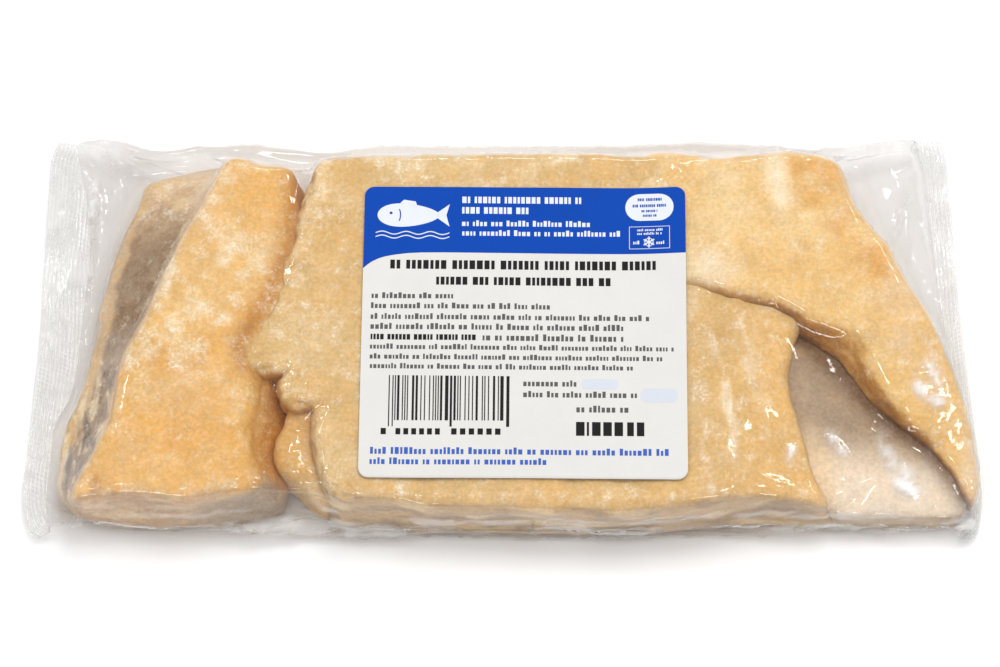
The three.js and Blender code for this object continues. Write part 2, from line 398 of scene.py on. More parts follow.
def build_piece(name, lo, hi, field, h=H):
    grid, origin, h = make_grid(lo, hi, h)
    f = field(grid)
    v, q = surface_nets(f, origin, h)
    e = mesh_edges(q)
    v = relax(v, e, 3, 0.5)
    pieces[name] = dict(v=v, q=q, e=e)
    return v, q, e


build_piece("left", (-125, -61, -2), (-48, 54, 29),
            lambda g: solid_field(g, LEFT_CREST, LEFT_FOOT, left_top, 3.6, foot_z=7.0, crest_z=17.5))
build_piece("mid", (-75, -64, -2), (95, 55, 28),
            lambda g: solid_field(g, MID_CREST, MID_FOOT, mid_top, 3.0, foot_z=2.0, crest_z=12.0))
build_piece("lobe", (-66, -59, -2), (-42, -22, 22),
            lambda g: solid_field(g, LOBE_CREST, None, lobe_top, 3.4))
build_piece("flap", (34, -58, 1), (132, 52, 30),
            lambda g: round_max(solid_field(g, FLAP_CREST, FLAP_FOOT, flap_top, 3.0, foot_z=13.0, crest_z=22.0, bottom=2.0),
                                flap_under(g[0], g[1]) - g[2], 2.0))
build_piece("skin", (70, -61, -2), (130, 8, 20),
            lambda g: solid_field(g, SKIN_CREST, None, skin_top, 2.6, crest_z=12.0))


# --------------------------------------------------------- surface and tone


def lin(r, g, b):
    """Linear colour from display values 0 to 255."""
    c = np.array([r, g, b]) / 255.0
    return np.where(c <= 0.04045, c / 12.92, ((c + 0.055) / 1.055) ** 2.4)


def mix(a, b, t):
    t = np.asarray(t, dtype=float)
    if t.ndim:
        t = t[:, None]
    return a * (1 - t) + b * t


def blob(p, cx, cy, rx, ry, turn=0.0, soft=0.5):
    """1 inside an ellipse on the plan view, fading to 0 across its soft rim."""
    a = math.radians(turn)
    dx, dy = p[:, 0] - cx, p[:, 1] - cy
    u, w = (dx * math.cos(a) + dy * math.sin(a)) / rx, (-dx * math.sin(a) + dy * math.cos(a)) / ry
    return 1 - smoothstep(1 - soft, 1 + soft, np.hypot(u, w))


def line_distance(p, pts):
    """Distance on the plan view to an open polyline."""
    best = np.full(len(p), 1e9)
    for (ax, ay), (bx, by) in zip(pts[:-1], pts[1:]):
        ex, ey = bx - ax, by - ay
        t = np.clip(((p[:, 0] - ax) * ex + (p[:, 1] - ay) * ey) / (ex * ex + ey * ey), 0, 1)
        best = np.minimum(best, np.hypot(p[:, 0] - ax - ex * t, p[:, 1] - ay - ey * t))
    return best


GOLD = lin(238, 187, 103)
GOLD_DEEP = lin(230, 169, 77)
PALE = lin(233, 196, 134)
CREAM = lin(241, 212, 160)
FROST = lin(253, 242, 220)
OCHRE = lin(190, 122, 16)
PINK = lin(226, 190, 152)
SKIN_DARK = lin(150, 118, 84)
SKIN_GREY = lin(178, 152, 122)
SKIN_PALE = lin(234, 214, 188)
TAN = lin(208, 176, 132)


def flecks(v, seed, size=9.0, keep=0.20):
    """Small ragged patches of thicker frost."""
    c = cells(v * [1, 1, 0.5], size, seed)
    ragged = fbm(v, 2.4, seed + 3, 3)
    return smoothstep(keep + 0.10, keep - 0.06, c + 0.30 * ragged)


def shape_noise(p, n, v, big=0.5, mid=0.35, fine=0.14, seed=1):
    up = np.clip(n[:, 2], 0, 1)
    d = big * fbm(v, 21.0, seed, 2) + mid * fbm(v, 6.5, seed + 5, 3) + fine * fbm(v, 2.3, seed + 9, 2) * (0.4 + 0.6 * up)
    return d


def finish_piece(name, slot, material, dress, seed, **noise):
    p = pieces[name]
    v, q, e = p["v"], p["q"], p["e"]
    n = normals_of(v, q)
    d = shape_noise(p, n, v, seed=seed, **noise)
    extra = dress(v, n, None)
    if extra is not None:
        d = d + extra
    keep = smoothstep(0.6, 3.0, v[:, 2])            # the underside stays flat
    v2 = v + n * (d * keep)[:, None]
    v2 = relax(v2, e, 1, 0.25)
    v2[:, 2] = np.maximum(v2[:, 2], 0.3)
    n2 = normals_of(v2, q)
    # hollows: where the surface lies under the mean of its neighbours; the dress functions darken the tone there as
    # painted shade
    mean = v2
    mean = relax(mean, e, 6, 0.6)
    shade_hollow = ((mean - v2) * n2).sum(1)
    tone, frost = dress(v2, n2, shade_hollow)
    p.update(v=v2, n=n2)
    ob = new_object(name, v2, q, material, colours=tone, extra={"frost": frost})
    p["ob"] = ob
    return ob


# where the left block's skin band lies: from its crest line down to the pale foot strip
LEFT_RIM = [(-116, -54), (-112, -47), (-107, -34), (-105, -21), (-102, -11), (-97.5, -2), (-93.5, 9), (-89, 19),
            (-85, 28), (-81, 37), (-77, 46)]


def dress_left(v, n, shade_hollow):
    x, y, z = v[:, 0], v[:, 1], v[:, 2]
    top = smoothstep(0.35, 0.8, n[:, 2]) * smoothstep(15, 19, z + 6 * smoothstep(-74, -58, x))
    patch = fbm(v * [1, 1, 0.3], 13.0, 31, 3)
    patch2 = fbm(v * [1, 1, 0.3], 4.2, 37, 3)
    if shade_hollow is None:
        return 0.25 * np.maximum(patch2, 0) * top
    gold = mix(GOLD, GOLD_DEEP, smoothstep(0.0, 0.9, fbm(v, 17.0, 41, 3)) * 0.7)
    tone = mix(gold, PALE, smoothstep(-0.3, 0.8, patch) * 0.75)
    # the frostier belt across the middle of the block
    tone = mix(tone, PALE, 0.5 * blob(v, -84, 14, 16, 18, 20, 0.6))
    belt = np.clip(blob(v, -84, 10, 20, 22, 20, 0.6) + 0.6 * blob(v, -92, -14, 16, 10, 0, 0.6)
                   + 0.5 * blob(v, -74, 42, 12, 5, 20, 0.7), 0, 1)
    frost = np.clip(0.10 + 0.75 * belt, 0, 1) * smoothstep(-0.5, 0.7, patch2 + 0.5 * patch)
    tone = mix(tone, CREAM, np.clip(frost * 0.8, 0, 1))
    tone = mix(tone, GOLD_DEEP, 0.28 * blob(v, -72, 30, 15, 11, 30, 0.6) + 0.45 * blob(v, -84, -34, 20, 14, 0, 0.8))
    # painted shade: the right roll-off into the valley goes deeper in tone, towards ochre
    valley_shade = smoothstep(-70, -58, x) * smoothstep(2, -18, y) * smoothstep(0.97, 0.75, n[:, 2])
    tone = mix(tone, OCHRE, 0.85 * valley_shade)
    # painted shadow: an ochre band along the line where the middle piece's knobbly edge lies over the left block
    tuck_shade = np.exp(-(line_distance(v, [(-57, 40), (-58, 20), (-63, 4), (-71, -11), (-70, -17), (-61, -20), (-61, -28), (-64, -40), (-62, -47)]) / 3.2) ** 2)
    tone = mix(tone, OCHRE, 0.8 * tuck_shade)
    # left flank: pinkish rim, dark skin, pale tan foot
    s = poly_distance(x[None], y[None], spline(LEFT_CREST))[0]          # outside the crest: > 0
    left = smoothstep(-70, -78, x) * smoothstep(-56.5, -52, y - 0.02 * x)
    out = s + 0.25 * np.maximum(19 - z, 0) + 0.7 * fbm(v, 5.0, 53, 2)
    side = left * smoothstep(0.4, 2.6, out)
    rim = left * np.exp(-((out - 0.6) / 1.5) ** 2)
    tone = mix(tone, PINK, 0.75 * np.clip(rim, 0, 1))
    strip = smoothstep(10.6, 8.6, z + 0.9 * fbm(v, 6.0, 59, 2) + 1.3 * smoothstep(-10, 30, y))
    skin = mix(SKIN_DARK, SKIN_GREY, smoothstep(-0.4, 0.9, fbm(v, 4.0, 61, 3)) * 0.65)
    grain = fbm(v * [1.0, 0.22, 0.6], 2.2, 63, 3)
    skin = mix(skin, lin(108, 80, 58), 0.55 * smoothstep(0.1, 0.7, grain) * smoothstep(24, -20, y))
    skin = mix(skin, mix(PINK, CREAM, 0.5), 0.5 * smoothstep(0.15, 0.7, -grain) * smoothstep(0, -34, y))
    fade = smoothstep(40, 18, y) * smoothstep(-57, -46, y)
    skin = mix(mix(TAN, PINK, 0.5), skin, fade)
    tone = mix(tone, skin, side * (1 - strip))
    tone = mix(tone, mix(TAN, GOLD, smoothstep(-0.5, 0.6, fbm(v, 8.0, 67, 2)) * 0.35), side * strip)
    low_end = side * smoothstep(-6, -24, y)
    dark = smoothstep(0.10, 0.45, fbm(v * [1.3, 0.30, 0.8], 3.4, 69, 3))
    tone = mix(tone, lin(84, 58, 40), 0.65 * low_end * (1 - strip) * dark)
    pale = smoothstep(0.12, 0.42, fbm(v * [1.5, 0.34, 0.8], 3.0, 85, 3))
    tone = mix(tone, CREAM, 0.6 * low_end * pale * (1 - dark))
    corner = side * blob(v, -93, 38, 13, 9, 0, 0.6)
    tone = mix(tone, CREAM, 0.55 * corner * smoothstep(-0.25, 0.4, fbm(v, 5.0, 87, 3)))
    patchy = blob(v, -98.5, 31, 3.2, 7.0, -20, 0.5) * side
    tone = mix(tone, SKIN_DARK, 0.7 * patchy * smoothstep(-0.2, 0.5, fbm(v, 2.6, 71, 2)))
    # front face: pinkish at the left, grey skin at the right
    front = smoothstep(-52.0, -54.8, y) * smoothstep(0.9, 0.4, n[:, 2])
    grey = smoothstep(-88, -78, x + 2 * fbm(v, 8.0, 73, 2)) * smoothstep(1.5, 4.0, z) * smoothstep(17.5, 15.0, z)
    tone = mix(tone, mix(PINK, lin(208, 164, 112), 0.65) , front * 0.85)
    tone = mix(tone, CREAM, 0.55 * front * smoothstep(0.0, 0.6, fbm(v * [0.4, 1, 1.3], 4.0, 75, 3)))
    tone = mix(tone, lin(170, 128, 84), 0.5 * front * smoothstep(0.1, 0.6, fbm(v * [0.4, 1, 1.3], 4.5, 77, 3)))
    tone = mix(tone, SKIN_GREY, front * grey * 0.9)
    low_grey = smoothstep(-78, -66, x) * smoothstep(-45, -50, y + 0.15 * (x + 66)) * smoothstep(19.5, 16.5, z)
    tone = mix(tone, mix(SKIN_GREY, lin(140, 122, 104), 0.5), 0.85 * low_grey)
    toe = blob(v, -112, -53, 7, 4.5, 0, 0.6)
    tone = mix(tone, lin(186, 130, 84), 0.65 * toe * smoothstep(-0.6, 0.5, fbm(v, 3.0, 79, 2)))
    frost = np.clip(frost * 0.85 + (0.22 + 0.25 * belt) * flecks(v, 91) + 0.30 * flecks(v, 95, 5.5, 0.12), 0, 1)
    frost = np.clip(frost * top * 1.1 + 0.6 * side * (1 - strip) * flecks(v * [1.6, 0.8, 1], 97, 5.0, 0.22) * smoothstep(26, -10, y) + 0.25 * side * fade * smoothstep(0.3, 0.8, fbm(v, 2.5, 83, 3)), 0, 1)
    crest = top * smoothstep(-5.5, -0.5, s) * smoothstep(-60, -72, x) * smoothstep(-0.2, 0.45, fbm(v, 4.0, 89, 3))
    tone = mix(tone, CREAM, 0.35 * crest)
    frost = np.clip(frost + 0.45 * crest + 0.5 * corner * smoothstep(-0.1, 0.5, fbm(v, 3.0, 99, 2)) + 0.35 * low_end * pale, 0, 1)
    # painted shade: the tone is darker in hollows
    tone = tone * (1 - 0.55 * smoothstep(0.1, 0.9, shade_hollow))[:, None]
    return tone, frost


KNOB_LINE = [(-50, 46), (-54, 34), (-58, 18), (-62, 3), (-68, -10), (-66, -18), (-59, -22), (-54, -29), (-51, -37),
             (-48, -50), (-43, -55)]


def dress_mid(v, n, shade_hollow):
    x, y, z = v[:, 0], v[:, 1], v[:, 2]
    top = smoothstep(0.3, 0.8, n[:, 2])
    near = np.exp(-(line_distance(v, KNOB_LINE) / 6.5) ** 2)
    if shade_hollow is None:
        knob = np.sqrt(np.clip(1 - (cells(v, 4.6, 101) / 0.80) ** 2, 0, 1))
        knob2 = np.sqrt(np.clip(1 - (cells(v, 2.7, 107) / 0.78) ** 2, 0, 1))
        lumps = knob * 1.55 + knob2 * 0.40 - 1.15
        ridges = 0.35 * fbm(v * [1.0, 0.32, 1.0], 5.0, 109, 3) * smoothstep(48, 60, x) * smoothstep(12, 0, y)
        return near * lumps * 1.2 + ridges * top + 0.16 * (knob - 0.5) * top * (1 - near)
    patch = fbm(v * [1, 1, 0.3], 15.0, 113, 3)
    patch2 = fbm(v * [1, 1, 0.3], 4.0, 127, 3)
    tone = mix(mix(PALE, GOLD, 0.5), CREAM, smoothstep(-0.4, 0.9, patch) * 0.5) * [0.89, 0.885, 0.855]
    frost = (0.16 + 0.40 * near) * smoothstep(-0.3, 0.7, patch2)
    tone = mix(tone, CREAM, frost * 0.5)
    back = smoothstep(33, 43, y) * smoothstep(44, 20, x) + 0.8 * blob(v, -48, 36, 8, 9, 30, 0.7)
    back = np.clip(back, 0, 1) * smoothstep(-0.35, 0.45, fbm(v * [0.7, 1.2, 0.3], 6.0, 161, 3))
    tone = mix(tone, CREAM, 0.45 * back)
    frost = np.clip(frost + 0.5 * back, 0, 1)
    # golden lower right part, with pale streaks beside the label
    gold = smoothstep(60, 72, x) * smoothstep(8, -6, y)
    tone = mix(tone * (1 + 0.035 * gold)[:, None], GOLD, 0.5 * gold * smoothstep(-0.8, 0.5, fbm(v, 12.0, 131, 3)))
    bend = 0.9 * fbm(v * [0.2, 1.0, 0.2], 14.0, 141, 2)
    streak = blob(v, 60, -20, 8.0, 34, 4, 0.7) * smoothstep(0.10, 0.55, fbm((v + np.outer(bend, [3.0, 0, 0])) * [1.0, 0.14, 0.3], 2.6, 137, 2))
    tone = mix(tone, FROST, 0.38 * streak)
    frost = np.clip(frost + 0.35 * streak, 0, 1)
    lower = smoothstep(-46, -54, y) * top
    tone = mix(tone, GOLD, 0.35 * lower * smoothstep(-0.4, 0.6, patch2))
    # front and back cut faces are paler and greyer
    side = smoothstep(0.75, 0.35, n[:, 2])
    tone = mix(tone, lin(200, 164, 116), side * 0.8 * smoothstep(0.0, -50.0, y))
    # painted shade: the steep faces of the knobbly left edge, down by the valley beside the left block, go towards
    # ochre
    tone = mix(tone, OCHRE, 0.5 * side * smoothstep(-40, -52, x) * smoothstep(-50, -40, y))
    brown = side * smoothstep(0.05, 0.55, fbm(v * [0.30, 1, 1.2], 4.5, 139, 3)) * smoothstep(-45, -53, y)
    tone = mix(tone, lin(150, 114, 78), 0.6 * brown)
    tone = mix(tone, CREAM, 0.6 * side * smoothstep(0.1, 0.6, fbm(v * [0.35, 1, 1.2], 4.0, 143, 3)) * smoothstep(-45, -53, y))
    # painted shade: the tone is darker in hollows
    tone = tone * (1 - 0.5 * smoothstep(0.1, 0.8, shade_hollow))[:, None]
    frost = np.clip(frost + 0.45 * flecks(v, 151) + 0.4 * flecks(v, 155, 5.5, 0.14), 0, 1)
    return tone, np.clip(frost * top, 0, 1)


def dress_lobe(v, n, shade_hollow):
    if shade_hollow is None:
        return 0.3 * np.abs(fbm(v, 5.0, 201, 2))
    tone = mix(mix(PALE, GOLD, 0.7), CREAM, smoothstep(-0.3, 0.8, fbm(v, 5.0, 211, 3)) * 0.5 * smoothstep(-38, -48, v[:, 1])) * [0.87, 0.835, 0.775]
    return tone, 0.25 * smoothstep(-0.2, 0.7, fbm(v, 3.0, 213, 3))


def dress_flap(v, n, shade_hollow):
    x, y, z = v[:, 0], v[:, 1], v[:, 2]
    top = smoothstep(0.3, 0.75, n[:, 2])
    patch = fbm(v * [1, 1, 0.3], 12.0, 301, 3)
    patch2 = fbm(v * [1, 1, 0.3], 3.8, 307, 3)
    if shade_hollow is None:
        return 0.22 * patch2 * top
    tone = mix(mix(PALE, GOLD, 0.4), CREAM, smoothstep(-0.5, 0.7, patch) * 0.65) * [1.02, 1.02, 0.98]
    tone = mix(tone, GOLD_DEEP, 0.75 * np.clip(blob(v, 86, 40, 9, 5, -20, 0.6) + blob(v, 84, 32, 5, 4, 0, 0.6) * 0.8
                                               + blob(v, 94, 24, 6, 5, -40, 0.6) + blob(v, 101, 12, 8, 6, -40, 0.6), 0, 1)
               * smoothstep(-0.7, 0.4, fbm(v, 4.5, 311, 2)))
    edge = poly_distance(x[None], y[None], spline(FLAP_CREST))[0]
    rim = smoothstep(-4.5, -0.5, edge)
    tone = mix(tone, GOLD, 0.35 * rim * top)
    streak = blob(v, 76, 38, 3.0, 9.0, 4, 0.7) + 0.8 * blob(v, 57, 10, 6, 5, 0, 0.7)
    frost = np.clip(0.22 * smoothstep(-0.4, 0.7, patch2) + 0.8 * streak * smoothstep(-0.5, 0.5, patch2), 0, 1)
    tone = mix(tone, FROST, np.clip(0.55 * streak, 0, 1))
    under = smoothstep(0.55, 0.15, n[:, 2])
    facing = smoothstep(0.0, -0.5, n[:, 0] * 0.6 + n[:, 1] * 0.8)            # the face towards the skin side
    # painted shade, partly the flesh's own deeper colour: the steep face towards the skin side goes to ochre, and to
    # dark brown where it is steepest
    low = smoothstep(10, 0, y) * smoothstep(0.80, 0.45, n[:, 2]) * facing
    tone = mix(tone, OCHRE, 0.85 * low)
    tone = mix(tone, lin(132, 78, 24), 0.90 * low * smoothstep(0.5, 0.0, n[:, 2]))
    # painted shade: the tone is darker in hollows
    tone = tone * (1 - 0.5 * smoothstep(0.1, 0.8, shade_hollow))[:, None]
    frost = np.clip(frost + 0.45 * flecks(v, 351) + 0.4 * flecks(v, 355, 5.5, 0.14), 0, 1)
    return tone, np.clip(frost * top, 0, 1)


def dress_skin(v, n, shade_hollow):
    x, y, z = v[:, 0], v[:, 1], v[:, 2]
    if shade_hollow is None:
        return 0.12 * fbm(v, 3.0, 401, 2)
    tone = mix(SKIN_GREY, lin(166, 142, 116), smoothstep(-0.3, 0.8, fbm(v, 9.0, 403, 3)) * 0.6)
    tone = mix(tone, SKIN_PALE, 0.97 * smoothstep(-31, -46, y + 0.1 * (x - 90)))
    tone = mix(tone, mix(PINK, PALE, 0.5), 0.8 * smoothstep(-12.5, -9.5, y + 0.05 * (x - 80)))
    tone = mix(tone, mix(PALE, SKIN_PALE, 0.5), 0.7 * blob(v, 85, -44, 4.5, 12, 10, 0.6))
    front = smoothstep(-54, -56.5, y) * smoothstep(0.8, 0.3, n[:, 2])
    tone = tone * (1 + 0.09 * smoothstep(-33, -45, y + 0.1 * (x - 90)) * (1 - front))[:, None]
    tone = mix(tone, lin(188, 158, 122), 0.8 * front)
    # painted shadow: dark brown along the foot of the flap, where the flap overhangs the skin piece
    foot = line_distance(v, FLAP_FOOT[19:31])
    tone = mix(tone, lin(104, 66, 34), 0.85 * np.exp(-(foot / 3.6) ** 2))
    # painted shade: the tone is darker in hollows
    tone = tone * (1 - 0.4 * smoothstep(0.1, 0.8, shade_hollow))[:, None]
    frost = 0.35 * smoothstep(-0.1, 0.8, fbm(v, 2.4, 409, 3)) * smoothstep(-20, -50, y) + 0.08
    return tone, frost


# ---------------------------------------------------------------- materials


def nodes_of(name):
    m = bpy.data.materials.new(name)
    m.use_nodes = True
    nt = m.node_tree
    nt.nodes.clear()
    return m, nt, (lambda kind, **kw: _node(nt, kind, kw))


def _node(nt, kind, kw):
    n = nt.nodes.new(kind)
    for k, val in kw.items():
        setattr(n, k, val)
    return n


def math_node(nt, op, a, b=None, clamp=False):
    n = nt.nodes.new("ShaderNodeMath")
    n.operation = op
    n.use_clamp = clamp
    for i, s in enumerate((a, b)):
        if s is None:
            continue
        if isinstance(s, (int, float)):
            n.inputs[i].default_value = s
        else:
            nt.links.new(s, n.inputs[i])
    return n.outputs[0]


def noise_node(nt, vec, size_mm, detail=3.0, rough=0.55, distortion=0.0):
    n = nt.nodes.new("ShaderNodeTexNoise")
    n.inputs["Scale"].default_value = 1000.0 / size_mm
    n.inputs["Detail"].default_value = detail
    n.inputs["Roughness"].default_value = rough
    n.inputs["Distortion"].default_value = distortion
    nt.links.new(vec, n.inputs["Vector"])
    return n.outputs["Fac"]


def ramp_node(nt, fac, stops):
    n = nt.nodes.new("ShaderNodeValToRGB")
    while len(n.color_ramp.elements) < len(stops):
        n.color_ramp.elements.new(0.5)
    for el, (pos, val) in zip(n.color_ramp.elements, stops):
        el.position = pos
        el.color = (val, val, val, 1) if isinstance(val, (int, float)) else (*val, 1)
    nt.links.new(fac, n.inputs["Fac"])
    return n.outputs["Color"]


def mix_colour(nt, fac, a, b, kind="MIX"):
    n = nt.nodes.new("ShaderNodeMix")
    n.data_type = "RGBA"
    n.blend_type = kind
    for key, s in ((0, fac), (6, a), (7, b)):
        if isinstance(s, (int, float)):
            n.inputs[key].default_value = s
        elif isinstance(s, (tuple, list, np.ndarray)):
            n.inputs[key].default_value = (*[float(c) for c in s[:3]], 1)
        else:
            nt.links.new(s, n.inputs[key])
    return n.outputs[2]


def flesh_material(name, sss=0.30, rough=0.40, grain=1.0, frost_gain=1.0):
    m, nt, new = nodes_of(name)
    out = new("ShaderNodeOutputMaterial")
    bsdf = new("ShaderNodeBsdfPrincipled")
    nt.links.new(bsdf.outputs[0], out.inputs[0])
    tone = new("ShaderNodeAttribute", attribute_name="tone").outputs["Color"]
    frost = new("ShaderNodeAttribute", attribute_name="frost").outputs["Fac"]
    vec = new("ShaderNodeTexCoord").outputs["Object"]
    # broad and middling mottling of the flesh
    mott = ramp_node(nt, noise_node(nt, vec, 8.0, 6.0, 0.68), [(0.32, 0.82), (0.68, 1.14)])
    col = mix_colour(nt, 0.55, tone, mott, "MULTIPLY")
    grit = ramp_node(nt, noise_node(nt, vec, 1.1, 4.0, 0.66), [(0.34, 0.84), (0.66, 1.13)])
    col = mix_colour(nt, 0.75, col, grit, "MULTIPLY")
    # frost: pin-point crystals, small clumps and short smears, thick where the attribute is high
    fine = noise_node(nt, vec, 0.85, 4.0, 0.68, 0.0)
    pins = ramp_node(nt, fine, [(0.51, 0.0), (0.64, 1.0)])
    clumps = ramp_node(nt, noise_node(nt, vec, 2.1, 7.0, 0.80, 0.0), [(0.475, 0.0), (0.625, 1.0)])
    smear = ramp_node(nt, noise_node(nt, vec, 6.0, 8.0, 0.78, 0.25), [(0.465, 0.0), (0.62, 1.0)])
    both = mix_colour(nt, 0.45, clumps, smear, "MIX")
    both = mix_colour(nt, 0.42, both, pins, "MIX")
    amount = math_node(nt, "MULTIPLY", math_node(nt, "ADD", frost, 0.13 * frost_gain), both)
    amount = math_node(nt, "MULTIPLY", amount, 1.7 * frost_gain, clamp=True)
    col = mix_colour(nt, amount, col, tuple(FROST))
    nt.links.new(col, bsdf.inputs["Base Color"])
    r = math_node(nt, "ADD", math_node(nt, "MULTIPLY", amount, 0.25), rough, clamp=True)
    nt.links.new(r, bsdf.inputs["Roughness"])
    bsdf.inputs["Subsurface Weight"].default_value = sss
    bsdf.inputs["Subsurface Radius"].default_value = (1.0, 0.62, 0.30)
    bsdf.inputs["Subsurface Scale"].default_value = 0.0028
    bsdf.inputs["IOR"].default_value = 1.38
    # relief finer than the mesh
    b1 = new("ShaderNodeBump")
    b1.inputs["Strength"].default_value = 0.7 * grain
    b1.inputs["Distance"].default_value = 0.0005
    nt.links.new(noise_node(nt, vec, 1.9, 5.0, 0.66), b1.inputs["Height"])
    b2 = new("ShaderNodeBump")
    b2.inputs["Strength"].default_value = 0.5 * grain
    b2.inputs["Distance"].default_value = 0.00022
    nt.links.new(fine, b2.inputs["Height"])
    nt.links.new(b1.outputs[0], b2.inputs["Normal"])
    nt.links.new(b2.outputs[0], bsdf.inputs["Normal"])
    return m


M_FLESH = flesh_material("cod_flesh")
M_SKIN = flesh_material("cod_skin", sss=0.08, rough=0.36, grain=0.9, frost_gain=0.55)

finish_piece("left", "cod_flesh", M_FLESH, dress_left, 11)
finish_piece("mid", "cod_flesh", M_FLESH, dress_mid, 12)
finish_piece("lobe", "cod_flesh", M_FLESH, dress_lobe, 13)
finish_piece("flap", "cod_flesh", M_FLESH, dress_flap, 14)
finish_piece("skin", "cod_skin", M_SKIN, dress_skin, 15, big=0.3, mid=0.15, fine=0.05)

# ------------------------------------------------------------------ the film
# The bag is one tube of film, flat where it is crimped at both ends. Its rest size is
# near that of the flat tube, so the slack that the filling leaves has to fold.

# edges of the two crimped strips, front to back, on the plan view
STRIP = {
    -1: dict(z=3.4,
             inner=[(-122.0, -58.6), (-123.6, -50), (-123.0, -40), (-122.6, -29), (-120.6, -23.5), (-118.4, -19),
                    (-117.0, -11), (-116.4, 0), (-115.7, 9), (-115.2, 18), (-114.8, 26), (-115.6, 35), (-116.8, 43),
                    (-119.0, 52), (-119.6, 58.6)],
             outer=[(-125.6, -60.3), (-127.8, -58.6), (-129.6, -54), (-130.4, -46), (-129.6, -36), (-128.9, -21),
                    (-128.1, -5), (-127.7, 15), (-127.5, 35), (-127.4, 50), (-127.2, 55.0), (-126.4, 57.0),
                    (-125.8, 60.3)]),
    1: dict(z=3.6,
            inner=[(123.4, -60.0), (126.6, -52), (127.2, -40), (126.4, -28), (124.4, -14), (122.6, 0), (121.2, 14),
                   (120.3, 26), (119.6, 40), (119.0, 50), (116.6, 60.2)],
            outer=[(126.4, -60.4), (128.8, -58), (130.3, -50), (130.5, -44), (129.7, -31), (128.6, -17), (127.5, -3),
                   (126.8, 14), (126.5, 30), (126.0, 48), (125.6, 56), (124.4, 60.4)]),
}


def along(points, t):
    """Points at fractions t of the way along a smooth open curve."""
    c = spline(points, closed=False, step=0.3)
    c = np.vstack([c, points[-1]])
    s = np.concatenate([[0], np.cumsum(np.linalg.norm(np.diff(c, axis=0), axis=1))])
    s /= s[-1]
    return np.stack([np.interp(t, s, c[:, 0]), np.interp(t, s, c[:, 1])], -1)


def strip_height(side, x, y):
    """The crimped strips lie just off the ground and wave a little."""
    z = STRIP[side]["z"] + 0.45 * np.sin(y / 17.0 + side) + 0.25 * np.sin(y / 7.3 + 2.0 * side)
    away = np.abs(x) - 120.0
    return z - 0.13 * np.maximum(away, 0) - 0.6 * smoothstep(40, 60, np.abs(y))


def union_field(h):
    ax = [np.arange(-129, 133, h), np.arange(-64, 58, h), np.arange(-1.0, 31.0, h)]
    g = np.meshgrid(*ax, indexing="ij")
    f = np.full(g[0].shape, 50.0)
    for crest, foot, top, r, fz, cz, bottom in (
            (LEFT_CREST, LEFT_FOOT, left_top, 3.6, 7.0, 17.5, 0.4),
            (MID_CREST, MID_FOOT, mid_top, 3.0, 2.0, 12.0, 0.4),
            (LOBE_CREST, None, lobe_top, 3.4, 3.0, 17.0, 0.4),
            (FLAP_CREST, FLAP_FOOT, flap_top, 3.0, 13.0, 22.0, 3.0),
            (SKIN_CREST, None, skin_top, 2.6, 3.0, 17.0, 0.4)):
        f = np.minimum(f, solid_field(g, crest, foot, top, r, foot_z=fz, crest_z=cz, bottom=bottom))
    return f.astype(np.float32), np.array([a[0] for a in ax]), h


class Obstacle:
    """The pieces as a field that the film is kept out of."""

    def __init__(self, h):
        self.f, self.o, self.h = union_field(h)
        gx, gy, gz = np.gradient(self.f, h)
        g = np.stack([gx, gy, gz], -1).astype(np.float32)
        self.g = g / np.maximum(np.linalg.norm(g, axis=-1, keepdims=True), 1e-6)
        self.shape = np.array(self.f.shape)

    def sample(self, p):
        q = (p - self.o) / self.h
        i = np.clip(np.floor(q).astype(np.int32), 0, self.shape - 2)
        t = np.clip(q - i, 0, 1).astype(np.float32)
        sx, sy, sz = self.shape
        flat = self.f.ravel()
        base = (i[:, 0] * sy + i[:, 1]) * sz + i[:, 2]
        tx, ty, tz = t[:, 0], t[:, 1], t[:, 2]
        v = 0.0
        for dx in (0, 1):
            wx = tx if dx else 1 - tx
            for dy in (0, 1):
                wy = ty if dy else 1 - ty
                for dz in (0, 1):
                    wz = tz if dz else 1 - tz
                    v = v + wx * wy * wz * flat[base + (dx * sy + dy) * sz + dz]
        r = np.clip(np.rint(q).astype(np.int32), 0, self.shape - 1)
        n = self.g[r[:, 0], r[:, 1], r[:, 2]]
        return v, n


def project(a, b, rest, pull, push):
    """Moves two rows of points towards their rest distance."""
    d = b - a
    length = np.sqrt((d * d).sum(-1, keepdims=True)) + 1e-9
    s = (length - rest) / length
    s *= np.where(s > 0, pull, push) * 0.5
    d *= s
    a += d
    b -= d


def project_min(a, b, rest, k):
    """Keeps points at least so far apart, which is what stiffness against bending does."""
    d = b - a
    length = np.sqrt((d * d).sum(-1, keepdims=True)) + 1e-9
    s = np.minimum((length - rest) / length, 0) * (0.5 * k)
    d *= s
    a += d
    b -= d


BACK_WAVES = [(-90, 13, -3.2), (-74, 7, 1.4), (-50, 9, -1.8), (-30, 10, 0.8), (58, 12, 1.0), (88, 10, -0.8)]
FRONT_WAVES = [(-112, 9, -2.0), (-86, 16, 0.3), (-53, 6.5, -4.6), (20, 34, 0.9), (72, 16, -1.6), (98, 10, -1.4)]


def crease_lines(x):
    """Where the film is folded along the back and the front: (y, z) of each."""
    back = 55.0 + sum(h * np.exp(-((x - c) / w) ** 2) for c, w, h in BACK_WAVES)
    front = -58.9 - sum(h * np.exp(-((x - c) / w) ** 2) for c, w, h in FRONT_WAVES)
    back = back + 2.2 * smoothstep(96, 116, np.abs(x))
    return back, 10.0 + 0.8 * np.sin(x / 23.0), front, 5.6 + 0.8 * np.sin(x / 19.0 + 1.0)


